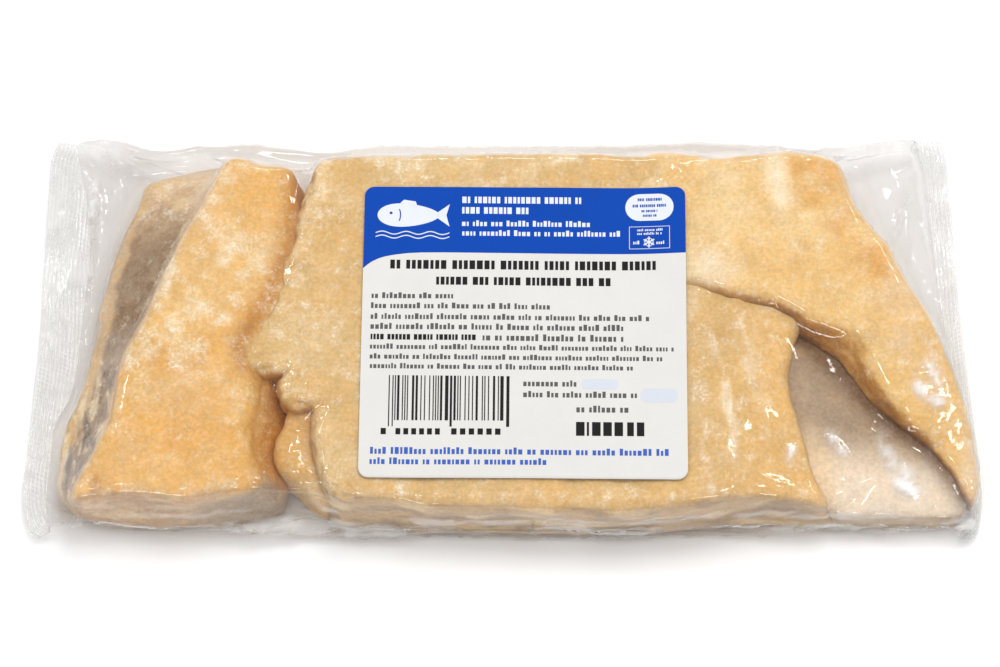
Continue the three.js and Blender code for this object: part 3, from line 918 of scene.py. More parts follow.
def settle_film(p0, steps, rest_u, rest_v, obstacle, pressure, damping, gap, bend, seed):
    """Tightens the tube p0 (along, round, 3) on to the pieces."""
    nu, nv = p0.shape[:2]
    half = nv // 2
    p = p0.astype(np.float32).copy()
    rng = np.random.default_rng(seed)
    p[1:-1] += rng.normal(0, 0.10, p[1:-1].shape).astype(np.float32)
    prev = p.copy()
    ends = p0[[0, -1]].astype(np.float32).copy()
    ru = rest_u.astype(np.float32)[None, :, None]
    rv = np.float32(rest_v)
    diag = np.sqrt(ru * ru + rv * rv)
    for it in range(steps):
        vel = (p - prev) * damping
        prev = p.copy()
        tu = np.zeros_like(p)
        tu[1:-1] = p[2:] - p[:-2]
        tv = np.roll(p, -1, 1) - np.roll(p, 1, 1)
        n = np.cross(tu, tv)
        n /= np.sqrt((n * n).sum(-1, keepdims=True)) + 1e-9
        p += vel - n * pressure
        p[:, :, 2] -= 0.003
        for _ in range(2):
            for s in (0, 1):
                m = (nu - s) // 2
                project(p[s:s + 2 * m:2], p[s + 1:s + 2 * m:2], ru, 1.0, 0.5)
            project(p[:, 0::2], p[:, 1::2], rv, 1.0, 0.5)
            q = np.roll(p, -1, 1)
            project(q[:, 0::2], q[:, 1::2], rv, 1.0, 0.5)
            p[:] = np.roll(q, 1, 1)
            for s in (0, 1):
                m = (nu - s) // 2
                a, b = p[s:s + 2 * m:2], p[s + 1:s + 2 * m:2]
                project(a[:, :-1], b[:, 1:], diag[:, :-1], 0.5, 0.25)
                project(a[:, 1:], b[:, :-1], diag[:, :-1], 0.5, 0.25)
            p[0], p[-1] = ends[0], ends[1]
        for g, k in ((2, bend), (4, bend * 0.6)):
            for s in range(2 * g):
                ia = np.arange(s, nu - g, 2 * g)
                if len(ia):
                    a, b = p[ia], p[ia + g]
                    project_min(a, b, ru * (g * 0.985), k)
                    p[ia], p[ia + g] = a, b
                ja = np.arange(s, nv - g, 2 * g)
                if len(ja):
                    a, b = p[:, ja], p[:, ja + g]
                    project_min(a, b, rv * (g * 0.985), k)
                    p[:, ja], p[:, ja + g] = a, b
        p[0], p[-1] = ends[0], ends[1]
        # the creased edges of the flat tube keep their line
        by, bz, fy, fz = crease_lines(p[1:-1, half, 0])
        for col, ty, tz in ((half, by, bz), (0, crease_lines(p[1:-1, 0, 0])[2], crease_lines(p[1:-1, 0, 0])[3])):
            p[1:-1, col, 1] += 0.5 * (ty - p[1:-1, col, 1])
            p[1:-1, col, 2] += 0.25 * (tz - p[1:-1, col, 2])
        # keep out of the pieces, with friction, and above the ground
        flat = p.reshape(-1, 3)
        phi, gn = obstacle.sample(flat)
        hit = phi < gap
        flat[hit] += (gap - phi[hit])[:, None] * gn[hit]
        pf = prev.reshape(-1, 3)
        move = flat[hit] - pf[hit]
        flat[hit] -= 0.35 * (move - (move * gn[hit]).sum(1, keepdims=True) * gn[hit])
        low = flat[:, 2] < 0.05
        flat[low, 2] = 0.05
        p = flat.reshape(p.shape)
        p[0], p[-1] = ends[0], ends[1]
    return p


def refine(p, nu, nv):
    """The same sheet with more points, by cubic steps along both ways."""
    def up(a, n_new, wrap):
        n_old = a.shape[0]
        t = np.arange(n_new) * (n_old / n_new) if wrap else np.linspace(0, n_old - 1, n_new)
        i = np.floor(t).astype(int)
        f = (t - i)[:, None, None]
        g = [a[(i + k) % n_old] if wrap else a[np.clip(i + k, 0, n_old - 1)] for k in (-1, 0, 1, 2)]
        f2, f3 = f * f, f * f * f
        return 0.5 * (2 * g[1] + (g[2] - g[0]) * f + (2 * g[0] - 5 * g[1] + 4 * g[2] - g[3]) * f2
                      + (3 * g[1] - g[0] - 3 * g[2] + g[3]) * f3)
    p = up(p, nu, False)
    return np.swapaxes(up(np.swapaxes(p, 0, 1), nv, True), 0, 1)


def ring_t(nv):
    """Fraction across for each column: over the top from front to back, then back below."""
    j = np.arange(nv)
    half = nv // 2
    return np.where(j <= half, j / half, 1 - (j - half) / (nv - half)), j <= half


def seal_rows(nv):
    t, top = ring_t(nv)
    rows = []
    for side in (-1, 1):
        xy = along(STRIP[side]["inner"], t)
        z = strip_height(side, xy[:, 0], xy[:, 1]) + np.where(top, 0.12, -0.12) * (np.sin(math.pi * t) > 1e-6)
        rows.append(np.column_stack([xy, z]))
    return rows


FOLD_Y, FOLD_HALF = -2.9, 57.6


def first_tube(nu, nv):
    """A loose tube round the pieces."""
    t, top = ring_t(nv)
    left, right = seal_rows(nv)
    c, s = -np.cos(math.pi * t), np.sin(math.pi * t)
    yb = FOLD_Y + FOLD_HALF * np.sign(c) * np.abs(c) ** 0.55
    zb = 10.0 + np.where(top, 18.0, -9.9) * np.abs(s) ** 0.42
    out = np.zeros((nu, nv, 3))
    for i, a in enumerate(np.linspace(0, 1, nu)):
        body = (1 - math.cos(math.pi * min(min(a, 1 - a) / 0.10, 1))) / 2
        out[i] = left + (right - left) * a
        out[i, :, 1] = out[i, :, 1] * (1 - body) + yb * body
        out[i, :, 2] = out[i, :, 2] * (1 - body) + zb * body
    return out


TUBE_TOP, TUBE_SIDE, TUBE_BASE, TUBE_GIRTH = 259.0, 251.0, 247.0, 257.0


def rest_along(nv):
    """Film length at each column: the top has further to go over the pieces."""
    t, top = ring_t(nv)
    s = np.sin(math.pi * t) ** 0.6
    return np.where(top, TUBE_SIDE + (TUBE_TOP - TUBE_SIDE) * s, TUBE_SIDE + (TUBE_BASE - TUBE_SIDE) * s)


def make_film():
    obstacle = Obstacle(1.4)
    levels = [(60, 60, 220, 0.05, 0.92, 0.35), (118, 116, 150, 0.03, 0.90, 0.30)]
    levels.append((234, 224, 110, 0.016, 0.88, 0.10))
    p = None
    for k, (nu, nv, steps, pressure, damping, bend) in enumerate(levels):
        p = first_tube(nu, nv) if p is None else refine(p, nu, nv)
        left, right = seal_rows(nv)
        p[0], p[-1] = left, right
        p = settle_film(p, steps, rest_along(nv) / (nu - 1), TUBE_GIRTH / nv, obstacle, pressure, damping, 0.55, bend, k + 1)
    return p


FILM = make_film()


def quad_grid(nu, nv, wrap):
    idx = np.arange(nu * nv).reshape(nu, nv)
    nxt = np.roll(idx, -1, 1) if wrap else idx[:, 1:]
    cur = idx if wrap else idx[:, :-1]
    return np.stack([cur[:-1], cur[1:], nxt[1:], nxt[:-1]], -1).reshape(-1, 4)


def film_material(name, haze, tint, lower_and_shade_tint, veil_colour, gloss=1.4, rough=0.06):
    m, nt, new = nodes_of(name)
    out = new("ShaderNodeOutputMaterial")
    clear = new("ShaderNodeBsdfTransparent")
    # the darker tint where the attribute is high: the lower layer of film, and painted shade on what is seen through
    # the film
    lower_layer_and_shade = new("ShaderNodeAttribute", attribute_name="lower_layer_and_shade").outputs["Fac"]
    nt.links.new(mix_colour(nt, lower_layer_and_shade, tint, lower_and_shade_tint), clear.inputs[0])
    shine = new("ShaderNodeBsdfPrincipled")
    shine.inputs["Base Color"].default_value = (1, 1, 1, 1)
    shine.inputs["Metallic"].default_value = 1.0
    shine.inputs["Roughness"].default_value = rough
    edge = new("ShaderNodeLayerWeight")
    edge.inputs["Blend"].default_value = 0.5
    vec = new("ShaderNodeTexCoord").outputs["Object"]
    bump = new("ShaderNodeBump")
    bump.inputs["Strength"].default_value = 0.35
    bump.inputs["Distance"].default_value = 0.00012
    nt.links.new(noise_node(nt, vec, 3.2, 3.0, 0.55, 0.8), bump.inputs["Height"])
    nt.links.new(bump.outputs[0], shine.inputs["Normal"])
    nt.links.new(bump.outputs[0], edge.inputs["Normal"])
    # the same from inside and outside: film has no thickness to bend light in
    graze = math_node(nt, "POWER", edge.outputs["Facing"], 5.0)
    mirror = math_node(nt, "ADD", math_node(nt, "MULTIPLY", graze, 0.9), 0.045 * gloss, clamp=True)
    mix1 = new("ShaderNodeMixShader")
    nt.links.new(mirror, mix1.inputs[0])
    nt.links.new(clear.outputs[0], mix1.inputs[1])
    nt.links.new(shine.outputs[0], mix1.inputs[2])
    veil = new("ShaderNodeBsdfPrincipled")
    veil.inputs["Base Color"].default_value = (*veil_colour, 1)
    veil.inputs["Roughness"].default_value = 0.35
    mix2 = new("ShaderNodeMixShader")
    hz = new("ShaderNodeAttribute", attribute_name="haze").outputs["Fac"]
    nt.links.new(math_node(nt, "MULTIPLY", hz, haze, clamp=True), mix2.inputs[0])
    nt.links.new(mix1.outputs[0], mix2.inputs[1])
    nt.links.new(veil.outputs[0], mix2.inputs[2])
    nt.links.new(mix2.outputs[0], out.inputs[0])
    return m


M_FILM = film_material("clear_film", 0.05, (0.978, 0.974, 0.970), (0.87, 0.852, 0.837), (0.93, 0.92, 0.91))
M_CRIMP = film_material("crimped_film", 0.42, (0.958, 0.953, 0.948), (0.90, 0.895, 0.885), (0.94, 0.93, 0.92), rough=0.14)

# heights of the filling, by 1 mm cells
RX0, RY0, RNX, RNY = -135, -68, 271, 131


def height_raster(points, low=0.0):
    r = np.full((RNX, RNY), low)
    i = np.clip(np.rint(points[:, 0] - RX0).astype(int), 0, RNX - 1)
    j = np.clip(np.rint(points[:, 1] - RY0).astype(int), 0, RNY - 1)
    np.maximum.at(r, (i, j), points[:, 2])
    return r


def read_raster(r, x, y):
    fx, fy = np.clip(np.asarray(x) - RX0, 0, RNX - 1.001), np.clip(np.asarray(y) - RY0, 0, RNY - 1.001)
    i, j = fx.astype(int), fy.astype(int)
    a, b = fx - i, fy - j
    return (r[i, j] * (1 - a) * (1 - b) + r[i + 1, j] * a * (1 - b) + r[i, j + 1] * (1 - a) * b + r[i + 1, j + 1] * a * b)


def blur(r, passes):
    for _ in range(passes):
        p = np.pad(r, 1, mode="edge")
        r = (p[:-2, 1:-1] + p[2:, 1:-1] + p[1:-1, :-2] + p[1:-1, 2:] + 4 * r) / 8
    return r


filling = height_raster(np.vstack([p["v"] for p in pieces.values()]))
pad = np.pad(filling, 1, mode="edge")
filling = np.max([pad[a:a + RNX, b:b + RNY] for a in range(3) for b in range(3)], axis=0)

nu, nv = FILM.shape[:2]
film_faces = quad_grid(nu, nv, True)
film_edges = mesh_edges(film_faces)
flat = relax(FILM.reshape(-1, 3).astype(float), film_edges, 1, 0.3)
pinned = np.zeros(len(flat), bool)
pinned[:nv] = pinned[-nv:] = True
flat[pinned] = FILM.reshape(-1, 3)[pinned]

# small creases: sharp narrow folds where the film is slack, hardly any where it is stretched over flesh
slack = 0.16 + 0.62 * smoothstep(0.15, 0.6, fbm(flat, 24.0, 811, 2))
slack = np.maximum(slack, smoothstep(0.75, 0.3, np.abs(normals_of(flat, film_faces)[:, 2])))
slack = np.maximum(slack, smoothstep(104, 112, np.abs(flat[:, 0] + 2)))
ridge = 1 - np.abs(fbm(flat * [1.0, 0.55, 1.0], 7.5, 821, 2)) * 5.0
ridge2 = 1 - np.abs(fbm(flat * [0.6, 1.0, 1.0], 5.0, 831, 2)) * 5.0
crease = np.maximum(ridge, 0) ** 2 * 0.34 + np.maximum(ridge2, 0) ** 2 * 0.22
flat_n = normals_of(flat, film_faces)
# single folds of the upper film: course on the plan view, height and half width in mm
FOLDS = [
    ([(-112.9, 56.2), (-107.5, 49.6)], 0.9, 1.6),
    ([(-116.6, 40.5), (-115.2, 33.7), (-113.4, 25.9)], 0.8, 1.2),
    ([(-116.8, 27.2), (-114.7, 15.8)], 0.7, 1.2),
    ([(-107.3, 33.4), (-106.3, 27.9)], 0.6, 1.2),
    ([(-106.5, 24.9), (-97.7, 32.9), (-90.1, 39.1)], 0.8, 1.4),
    ([(-56.2, 45.9), (-55.0, 43.5)], 0.5, 0.9),
    ([(42.3, 46.0), (47.0, 43.5), (52.4, 38.9)], 0.7, 1.3),
    ([(56.3, 45.6), (59.9, 46.9), (64.7, 48.7)], 0.8, 1.6),
    ([(93.8, 33.7), (95.3, 29.7), (97.0, 25.5)], 0.6, 1),
    ([(98.9, 50.0), (103.9, 56.0)], 1, 1.6),
    ([(115.4, 50.0), (112.8, 40.6), (108.5, 25.1)], 1, 1.5),
    ([(110.4, 29.7), (111.2, 23.6)], 0.6, 1.1),
    ([(107.8, -5.7), (112.3, -8.1), (116.2, -13.1), (118.1, -17.6), (123.1, -26.4)], 0.6, 1),
    ([(111.9, -20.1), (113.6, -24.8), (116.2, -27.2), (119.7, -27.5)], 0.7, 1.2),
    ([(113.2, -21.3), (117.1, -23.6)], 0.6, 1),
    ([(98.6, -28.2), (102.2, -31.8), (106.7, -33.5)], 0.9, 1.5),
    ([(101.7, -33.1), (103.6, -39.5), (105.8, -44.8), (108.3, -49.1), (113.6, -51.4)], 1.2, 3.4),
    ([(110.6, -42.0), (111.6, -50.7)], 0.8, 1.3),
    ([(89.1, -35.6), (91.7, -39.4), (93.7, -43.7)], 0.8, 1.3),
    ([(90.1, -56.5), (94.0, -53.0), (98.0, -48.4)], 0.8, 1.3),
    ([(52.1, -45.7), (51.8, -49.7), (52.0, -53.7)], 0.6, 0.9),
    ([(54.2, -48.0), (52.2, -53.2)], 0.4, 0.8),
    ([(60.6, -40.7), (63.1, -45.3), (65.7, -51.0)], 0.7, 1),
    ([(69.2, -49.7), (74.5, -50.9), (80.3, -52.6)], 0.6, 1),
    ([(75.6, -39.6), (77.9, -42.5), (79.1, -48.3)], 0.6, 1),
    ([(8.8, -50.9), (10.1, -54.3)], 0.5, 0.8),
    ([(15.5, -52.9), (17.1, -56.0)], 0.5, 0.8),
    ([(-57.0, -42.1), (-54.3, -41.2), (-52.1, -43.5), (-50.4, -47.6)], 0.5, 0.9),
    ([(-61.8, -44.4), (-60.6, -49.0)], 0.4, 0.8),
    ([(-54.4, -44.0), (-49.4, -52.6), (-42.1, -59.0)], 0.6, 1.3),
    ([(-48.1, -59.2), (-38.0, -54.9), (-27.3, -55.7)], 0.5, 1.2),
    ([(15.6, -56.1), (31.7, -54.1), (44.6, -56.7)], 0.5, 1.2),
    ([(42.5, -57.6), (53.3, -54.2), (64.6, -55.9)], 0.5, 1.1),
    ([(-5.9, -58.4), (4.9, -55.5), (15.6, -58.4)], 0.4, 1),
    ([(72.1, -57.6), (80.3, -53.3), (88.3, -55.3)], 0.6, 1.1),
    ([(-86.5, -59.5), (-70.5, -53.8), (-61.1, -52.9)], 0.5, 1.1),
    ([(-111.0, -52.9), (-100.0, -57.2), (-89.3, -57.2)], 0.5, 1.1),
    ([(-107.3, 54.2), (-95.8, 49.2), (-87.4, 49.5)], 0.6, 1.3),
    ([(-120.5, -32.3), (-115.5, -20.5), (-112.9, -5.5)], 0.6, 1.2),
    ([(-110.9, 7.8), (-108.1, 19.4), (-103.5, 30.8)], 0.5, 1.1),
    ([(118.0, 7.4), (120.2, -4.7), (122.4, -16.6)], 0.5, 1.1),
    ([(121.7, -22.2), (125.9, -36.9), (126.8, -51.5)], 0.5, 1),
    ([(98.7, 24.9), (103.8, 15.2), (110.2, 3.7)], 0.5, 1),
    ([(88.6, 49.6), (93.9, 45.0), (96.5, 40.3)], 0.6, 1.1),
]
fold = np.zeros(len(flat))
upper = (flat_n[:, 2] > -0.1) & (flat[:, 2] > 1.5)
for course, high, wide in FOLDS:
    pts = np.array(course)
    if len(pts) > 2:
        c = spline(course, closed=False, step=1.0)
        course = [tuple(a) for a in np.vstack([c, pts[-1]])]
    lo, hi = pts.min(0) - 5 * wide, pts.max(0) + 5 * wide
    k = np.where(upper & (flat[:, 0] > lo[0]) & (flat[:, 0] < hi[0]) & (flat[:, 1] > lo[1]) & (flat[:, 1] < hi[1]))[0]
    if not len(k):
        continue
    d = line_distance(flat[k], course)
    ends = np.minimum(np.hypot(*(flat[k, :2] - pts[0]).T), np.hypot(*(flat[k, :2] - pts[-1]).T))
    run = np.hypot(*(pts[-1] - pts[0]))
    fold[k] = np.maximum(fold[k], high * np.exp(-(d / wide) ** 1.7) * (0.35 + 0.65 * smoothstep(0, 0.3 * run, ends)))
ripple = 0.80 * np.maximum(1 - 4.5 * np.abs(fbm(flat * [0.30, 1.0, 1.0], 5.0, 861, 2)), 0) ** 1.5
in_front = smoothstep(-53.0, -57.0, flat[:, 1]) * smoothstep(18.0, 14.0, flat[:, 2]) * smoothstep(0.8, 2.5, flat[:, 2])
rise = np.maximum(np.maximum(crease * slack * 1.3, fold), ripple * in_front)
flat = np.where(pinned[:, None], flat, flat + flat_n * rise[:, None])

# keep the film outside the flesh
from mathutils.kdtree import KDTree
fish_v = np.vstack([p["v"] for p in pieces.values()])
fish_n = np.vstack([p["n"] for p in pieces.values()])
near = (fish_v[:, 2] > 1.0)
fish_v, fish_n = fish_v[near], fish_n[near]
tree = KDTree(len(fish_v))
for i, c in enumerate(fish_v):
    tree.insert(c, i)
tree.balance()
for _ in range(2):
    hits = np.array([tree.find(c)[1:] for c in flat])
    k = hits[:, 0].astype(int)
    away = ((flat - fish_v[k]) * fish_n[k]).sum(1)
    push = np.where((hits[:, 1] < 3.0) & (away < 0.22), 0.22 - away, 0.0)
    push[pinned] = 0
    push = np.maximum(push, spread(push, film_edges, 2))
    flat = flat + fish_n[k] * push[:, None]
flat[:, 2] = np.maximum(flat[:, 2], 0.05)

# the label's own height: the film under it, evened out
film_top = height_raster(flat[flat[:, 2] > 12], 0.0)
film_top = np.maximum(film_top, filling + 0.25)
SHEET = blur(np.where(film_top > 12, film_top, 22.0), 150)
gx, gy = np.meshgrid(np.arange(RNX) + RX0, np.arange(RNY) + RY0, indexing="ij")
inside = (np.abs(gx - 6) < 45) & (np.abs(gy + 7.8) < 44)
SHEET = SHEET + max(0.35, float(np.percentile((filling + 0.45 - SHEET)[inside], 99.5)))
SHEET = SHEET + 0.05 * np.sin(gx / 19.0) + 0.04 * np.sin(gy / 15.0 + 1.0)


def sheet_height(x, y):
    return read_raster(SHEET, x, y)


ca, sa = math.cos(math.radians(0.5)), math.sin(math.radians(0.5))
lu = (flat[:, 0] - 6.0) * ca - (flat[:, 1] + 7.8) * sa
lv = (flat[:, 0] - 6.0) * sa + (flat[:, 1] + 7.8) * ca
out_of = np.maximum(np.abs(lu) - 44.0, np.abs(lv) - 43.0)
w = smoothstep(5.0, 0.8, out_of) * (flat[:, 2] > 14)
flat[:, 2] = flat[:, 2] * (1 - w) + (sheet_height(flat[:, 0], flat[:, 1]) - 0.24) * w
# hazier where the film bends hard
flat_n = normals_of(flat, film_faces)
bent = np.abs(((relax(flat, film_edges, 2, 0.6) - flat) * flat_n).sum(1))
haze = 0.45 + 2.1 * spread(smoothstep(0.05, 0.35, bent), film_edges, 2)
# cloudier where it hangs wrinkled in front of the pieces and near the crimped ends
front = smoothstep(-52.0, -56.5, flat[:, 1]) * smoothstep(19.0, 15.0, flat[:, 2])
streaks = smoothstep(-0.05, 0.5, fbm(flat * [0.20, 1.0, 1.5], 3.6, 841, 3)) ** 1.5
loose = smoothstep(96, 112, np.abs(flat[:, 0])) * smoothstep(0.1, 0.7, fbm(flat * [1.0, 0.4, 1.0], 9.0, 851, 3))
haze = haze + front * (0.1 + 7.0 * streaks) * (1 - 0.45 * smoothstep(-72, -84, flat[:, 0])) + 3.0 * loose
# whitened creases: where the loose film is folded hard
haze = haze + 5.0 * smoothstep(0.25, 0.8, fold) * smoothstep(100, 108, np.abs(flat[:, 0]))
# painted highlights: whitened patches on the film that stand in for the brightest reflections, over the skin piece at
# the front right and along the left crimp's inner edge
whitened_glare = np.zeros(len(flat))
for cx, cy, rx, ry, turn in ((103.6, -37.5, 1.7, 6.3, 16), (109.6, -49.2, 4.6, 1.3, -22), (109.0, -44.6, 1.1, 2.8, 12),
                             (112.6, -24.0, 1.5, 2.6, 25), (117.4, -26.8, 2.4, 1.5, -30), (116.6, -19.6, 0.9, 4.0, 30),
                             (90.6, -37.0, 0.8, 4.6, 35), (77.4, -41.6, 0.9, 2.4, -30), (-115.2, 36.0, 1.3, 10.0, -6), (-115.4, 20.0, 1.1, 6.0, 4)):
    whitened_glare = np.maximum(whitened_glare, blob(flat, cx, cy, rx, ry, turn, 0.35))
whitened_glare = spread(whitened_glare, film_edges, 1)
haze = haze + 17.0 * whitened_glare * (upper | (flat[:, 0] < -113)) * smoothstep(-0.7, 0.1, fbm(flat, 2.6, 871, 2))
# clear where it spans the hollow beside the left block and the flap's steep side
span = np.maximum(blob(flat, -64, -26, 9, 26, 0, 0.5), blob(flat, 97, -22, 26, 9, -48, 0.5))
span = np.maximum(span, 0.6 * blob(flat, -103, -8, 9, 44, -14, 0.5))
haze = haze * (1 - 0.9 * span * (flat[:, 2] > 6))
# darker tint on the lower layer of the tube and on the strip behind the back crease, less towards the ends; partly the
# film's own tint, partly painted shade under and behind the bag
lower_layer_and_shade = 0.85 * np.tile((~ring_t(nv)[1]).astype(float), nu)
lower_layer_and_shade = np.maximum(lower_layer_and_shade, smoothstep(49.5, 51.5, flat[:, 1]) * smoothstep(112, 104, np.abs(flat[:, 0])))
lower_layer_and_shade = lower_layer_and_shade * (1 - 0.75 * smoothstep(82, 98, flat[:, 0]) - 0.05 * smoothstep(-95, -108, flat[:, 0]))
film_ob = new_object("film", flat, film_faces, M_FILM, extra={"haze": haze, "lower_layer_and_shade": lower_layer_and_shade})
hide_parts("bag")


def crimp_strip(side, name):
    """Two layers of film pressed together, with fine ribs along the strip."""
    n_across, n_along = 62, 300
    t = np.linspace(0, 1, n_along)
    inner, outer = along(STRIP[side]["inner"], t), along(STRIP[side]["outer"], t)
    s = np.linspace(0, 1, n_across)[:, None, None]
    xy = inner[None] * (1 - s) + outer[None] * s
    x, y = xy[..., 0], xy[..., 1]
    pts = np.column_stack([x.ravel(), y.ravel(), np.zeros(x.size)])
    away = np.abs(x - outer[None, :, 0])
    rib = np.sin(2 * math.pi * (away + 0.25 * np.sin(y / 9.0)) / 1.12)
    keep = smoothstep(0.0, 0.5, away) * smoothstep(0.0, 0.6, np.abs(x - inner[None, :, 0]))
    cross = np.sin(2 * math.pi * (y + 0.45 * away + 0.3 * np.sin(y / 11.0)) / 1.35)
    worn = 0.55 + 0.45 * fbm(pts, 9.0, 901, 2).reshape(x.shape)
    net = rib * (0.65 + 0.35 * cross) * worn * keep
    rib = net
    crinkle = 0.10 * fbm(pts * [1.0, 0.6, 1.0], 2.4, 903, 3).reshape(x.shape)
    z = strip_height(side, x, y) + 0.15 * rib + crinkle + 0.5 * fbm(pts, 22.0, 905, 2).reshape(x.shape) * smoothstep(0, 4, np.abs(x - inner[None, :, 0]))
    half = 0.12 * np.ones_like(x)
    half[:, 0] = half[:, -1] = 0.02
    half[-1] = 0.02
    up = np.stack([x, y, z + half], -1).reshape(-1, 3)
    dn = np.stack([x, y, z - half], -1).reshape(-1, 3)
    q = quad_grid(n_across, n_along, False)
    n = len(up)
    idx = np.arange(n).reshape(n_across, n_along)
    rim = np.concatenate([idx[:-1, 0], idx[-1, :-1], idx[:0:-1, -1], idx[0, :0:-1]])
    nx = np.roll(rim, -1)
    wall = np.stack([rim, nx, nx + n, rim + n], -1)
    faces = np.vstack([q[:, ::-1] if side < 0 else q, (q if side < 0 else q[:, ::-1]) + n, wall if side < 0 else wall[:, ::-1]])
    v = np.vstack([up, dn])
    hz = (0.50 + 0.40 * smoothstep(-0.5, 0.6, fbm(v, 6.0, 907, 3))) * (0.8 if side > 0 else 0.95)
    hz = hz * (1 + 0.75 * np.concatenate([net.ravel(), net.ravel()]))
    # the left strip takes a share of the darker tint, as painted shade
    return new_object(name, v, faces, M_CRIMP, extra={"haze": hz, "lower_layer_and_shade": np.full(len(v), 0.0 if side > 0 else 0.3)})


crimp_strip(-1, "crimp_left")
crimp_strip(1, "crimp_right")

# ---------------------------------------------------------------- the label
# A paper label glued on the film: a coloured field, short bars for the lines of print,
# a bar pattern and a fish outline. u runs to the right and v down from its top left corner.

LABEL_W, LABEL_D, LABEL_R = 88.0, 86.0, 2.8
LABEL_C, LABEL_TURN = (6.0, -7.8), math.radians(-0.5)


def label_to_plan(u, v):
    a, b = u - LABEL_W / 2, LABEL_D / 2 - v
    return (LABEL_C[0] + a * math.cos(LABEL_TURN) - b * math.sin(LABEL_TURN),
            LABEL_C[1] + a * math.sin(LABEL_TURN) + b * math.cos(LABEL_TURN))


def label_at(u, v, lift):
    x, y = label_to_plan(np.asarray(u, float), np.asarray(v, float))
    return np.stack([x, y, sheet_height(x, y) + lift], -1)


def corner_cut(u):
    """How far the rounded corners cut into the top and bottom edges at u."""
    d = np.minimum(u, LABEL_W - u)
    return np.where(d < LABEL_R, LABEL_R - np.sqrt(np.maximum(LABEL_R ** 2 - (LABEL_R - d) ** 2, 0)), 0.0)


def columns():
    e = LABEL_R * (1 - np.cos(np.linspace(0, math.pi / 2, 9)))
    return np.concatenate([e, np.linspace(LABEL_R, LABEL_W - LABEL_R, 78)[1:-1], LABEL_W - e[::-1]])


def band(u, v0, v1, rows, lift):
    """Sheet between two lines v0(u) and v1(u)."""
    s = np.linspace(0, 1, rows)[None, :]
    vv = v0[:, None] * (1 - s) + v1[:, None] * s
    return label_at(np.repeat(u[:, None], rows, 1), vv, lift)


def paper_material(name, colour, rough=0.5, sheen=0.0):
    m, nt, new = nodes_of(name)
    out = new("ShaderNodeOutputMaterial")
    b = new("ShaderNodeBsdfPrincipled")
    vec = new("ShaderNodeTexCoord").outputs["Object"]
    tint = ramp_node(nt, noise_node(nt, vec, 9.0, 3.0, 0.6), [(0.3, 0.975), (0.7, 1.01)])
    col = mix_colour(nt, 1.0, colour, tint, "MULTIPLY")
    fib = ramp_node(nt, noise_node(nt, vec, 0.5, 3.0, 0.6), [(0.3, 0.985), (0.7, 1.01)])
    col = mix_colour(nt, 1.0, col, fib, "MULTIPLY")
    nt.links.new(col, b.inputs["Base Color"])
    b.inputs["Roughness"].default_value = rough
    b.inputs["Specular IOR Level"].default_value = 0.22
    bump = new("ShaderNodeBump")
    bump.inputs["Strength"].default_value = 0.12
    bump.inputs["Distance"].default_value = 0.00008
    nt.links.new(noise_node(nt, vec, 1.2, 3.0, 0.6), bump.inputs["Height"])
    nt.links.new(bump.outputs[0], b.inputs["Normal"])
    nt.links.new(b.outputs[0], out.inputs[0])
    return m


M_PAPER = paper_material("label_paper", tuple(lin(220, 218, 214)))
M_BLUE = paper_material("print_blue", tuple(lin(0, 68, 170)), 0.55)
M_INK = paper_material("print_ink", tuple(lin(34, 33, 34)))
M_INK2 = paper_material("print_grey_ink", tuple(lin(92, 90, 90)))
M_WHITE = paper_material("print_white", tuple(lin(222, 226, 234)))
M_INK_BLUE = paper_material("print_blue_ink", tuple(lin(62, 98, 184)))
M_TINT = paper_material("print_tint", tuple(lin(208, 213, 222)))

cols = columns()
cut = corner_cut(cols)
rows = 70
top_v = band(cols, cut, LABEL_D - cut, rows, 0.12).reshape(-1, 3)
low_v = band(cols, cut, LABEL_D - cut, rows, -0.10).reshape(-1, 3)
q = quad_grid(len(cols), rows, False)[:, ::-1]
idx = np.arange(len(top_v)).reshape(len(cols), rows)
rim = np.concatenate([idx[:-1, 0], idx[-1, :-1], idx[:0:-1, -1], idx[0, :0:-1]])
nx = np.roll(rim, -1)
n0 = len(top_v)
walls = np.stack([rim, nx, nx + n0, rim + n0], -1)
label_ob = new_object("label_sheet", np.vstack([top_v, low_v]), np.vstack([q, q[:, ::-1] + n0, walls[:, ::-1]]),
                      M_PAPER)
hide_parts("label")

# the blue field, with a curved lower edge at the left
sweep = np.interp(cols, [0, 1.5, 3.3, 5.5, 8.7, 12, 15.6, 22, 88], [25.0, 23.6, 22.4, 21.5, 20.8, 20.35, 20.1, 20.0, 20.2])
head = band(cols, cut + 0.05, np.maximum(sweep, cut + 0.2), 20, 0.145).reshape(-1, 3)
new_object("print_field", head, quad_grid(len(cols), 20, False)[:, ::-1], M_BLUE)


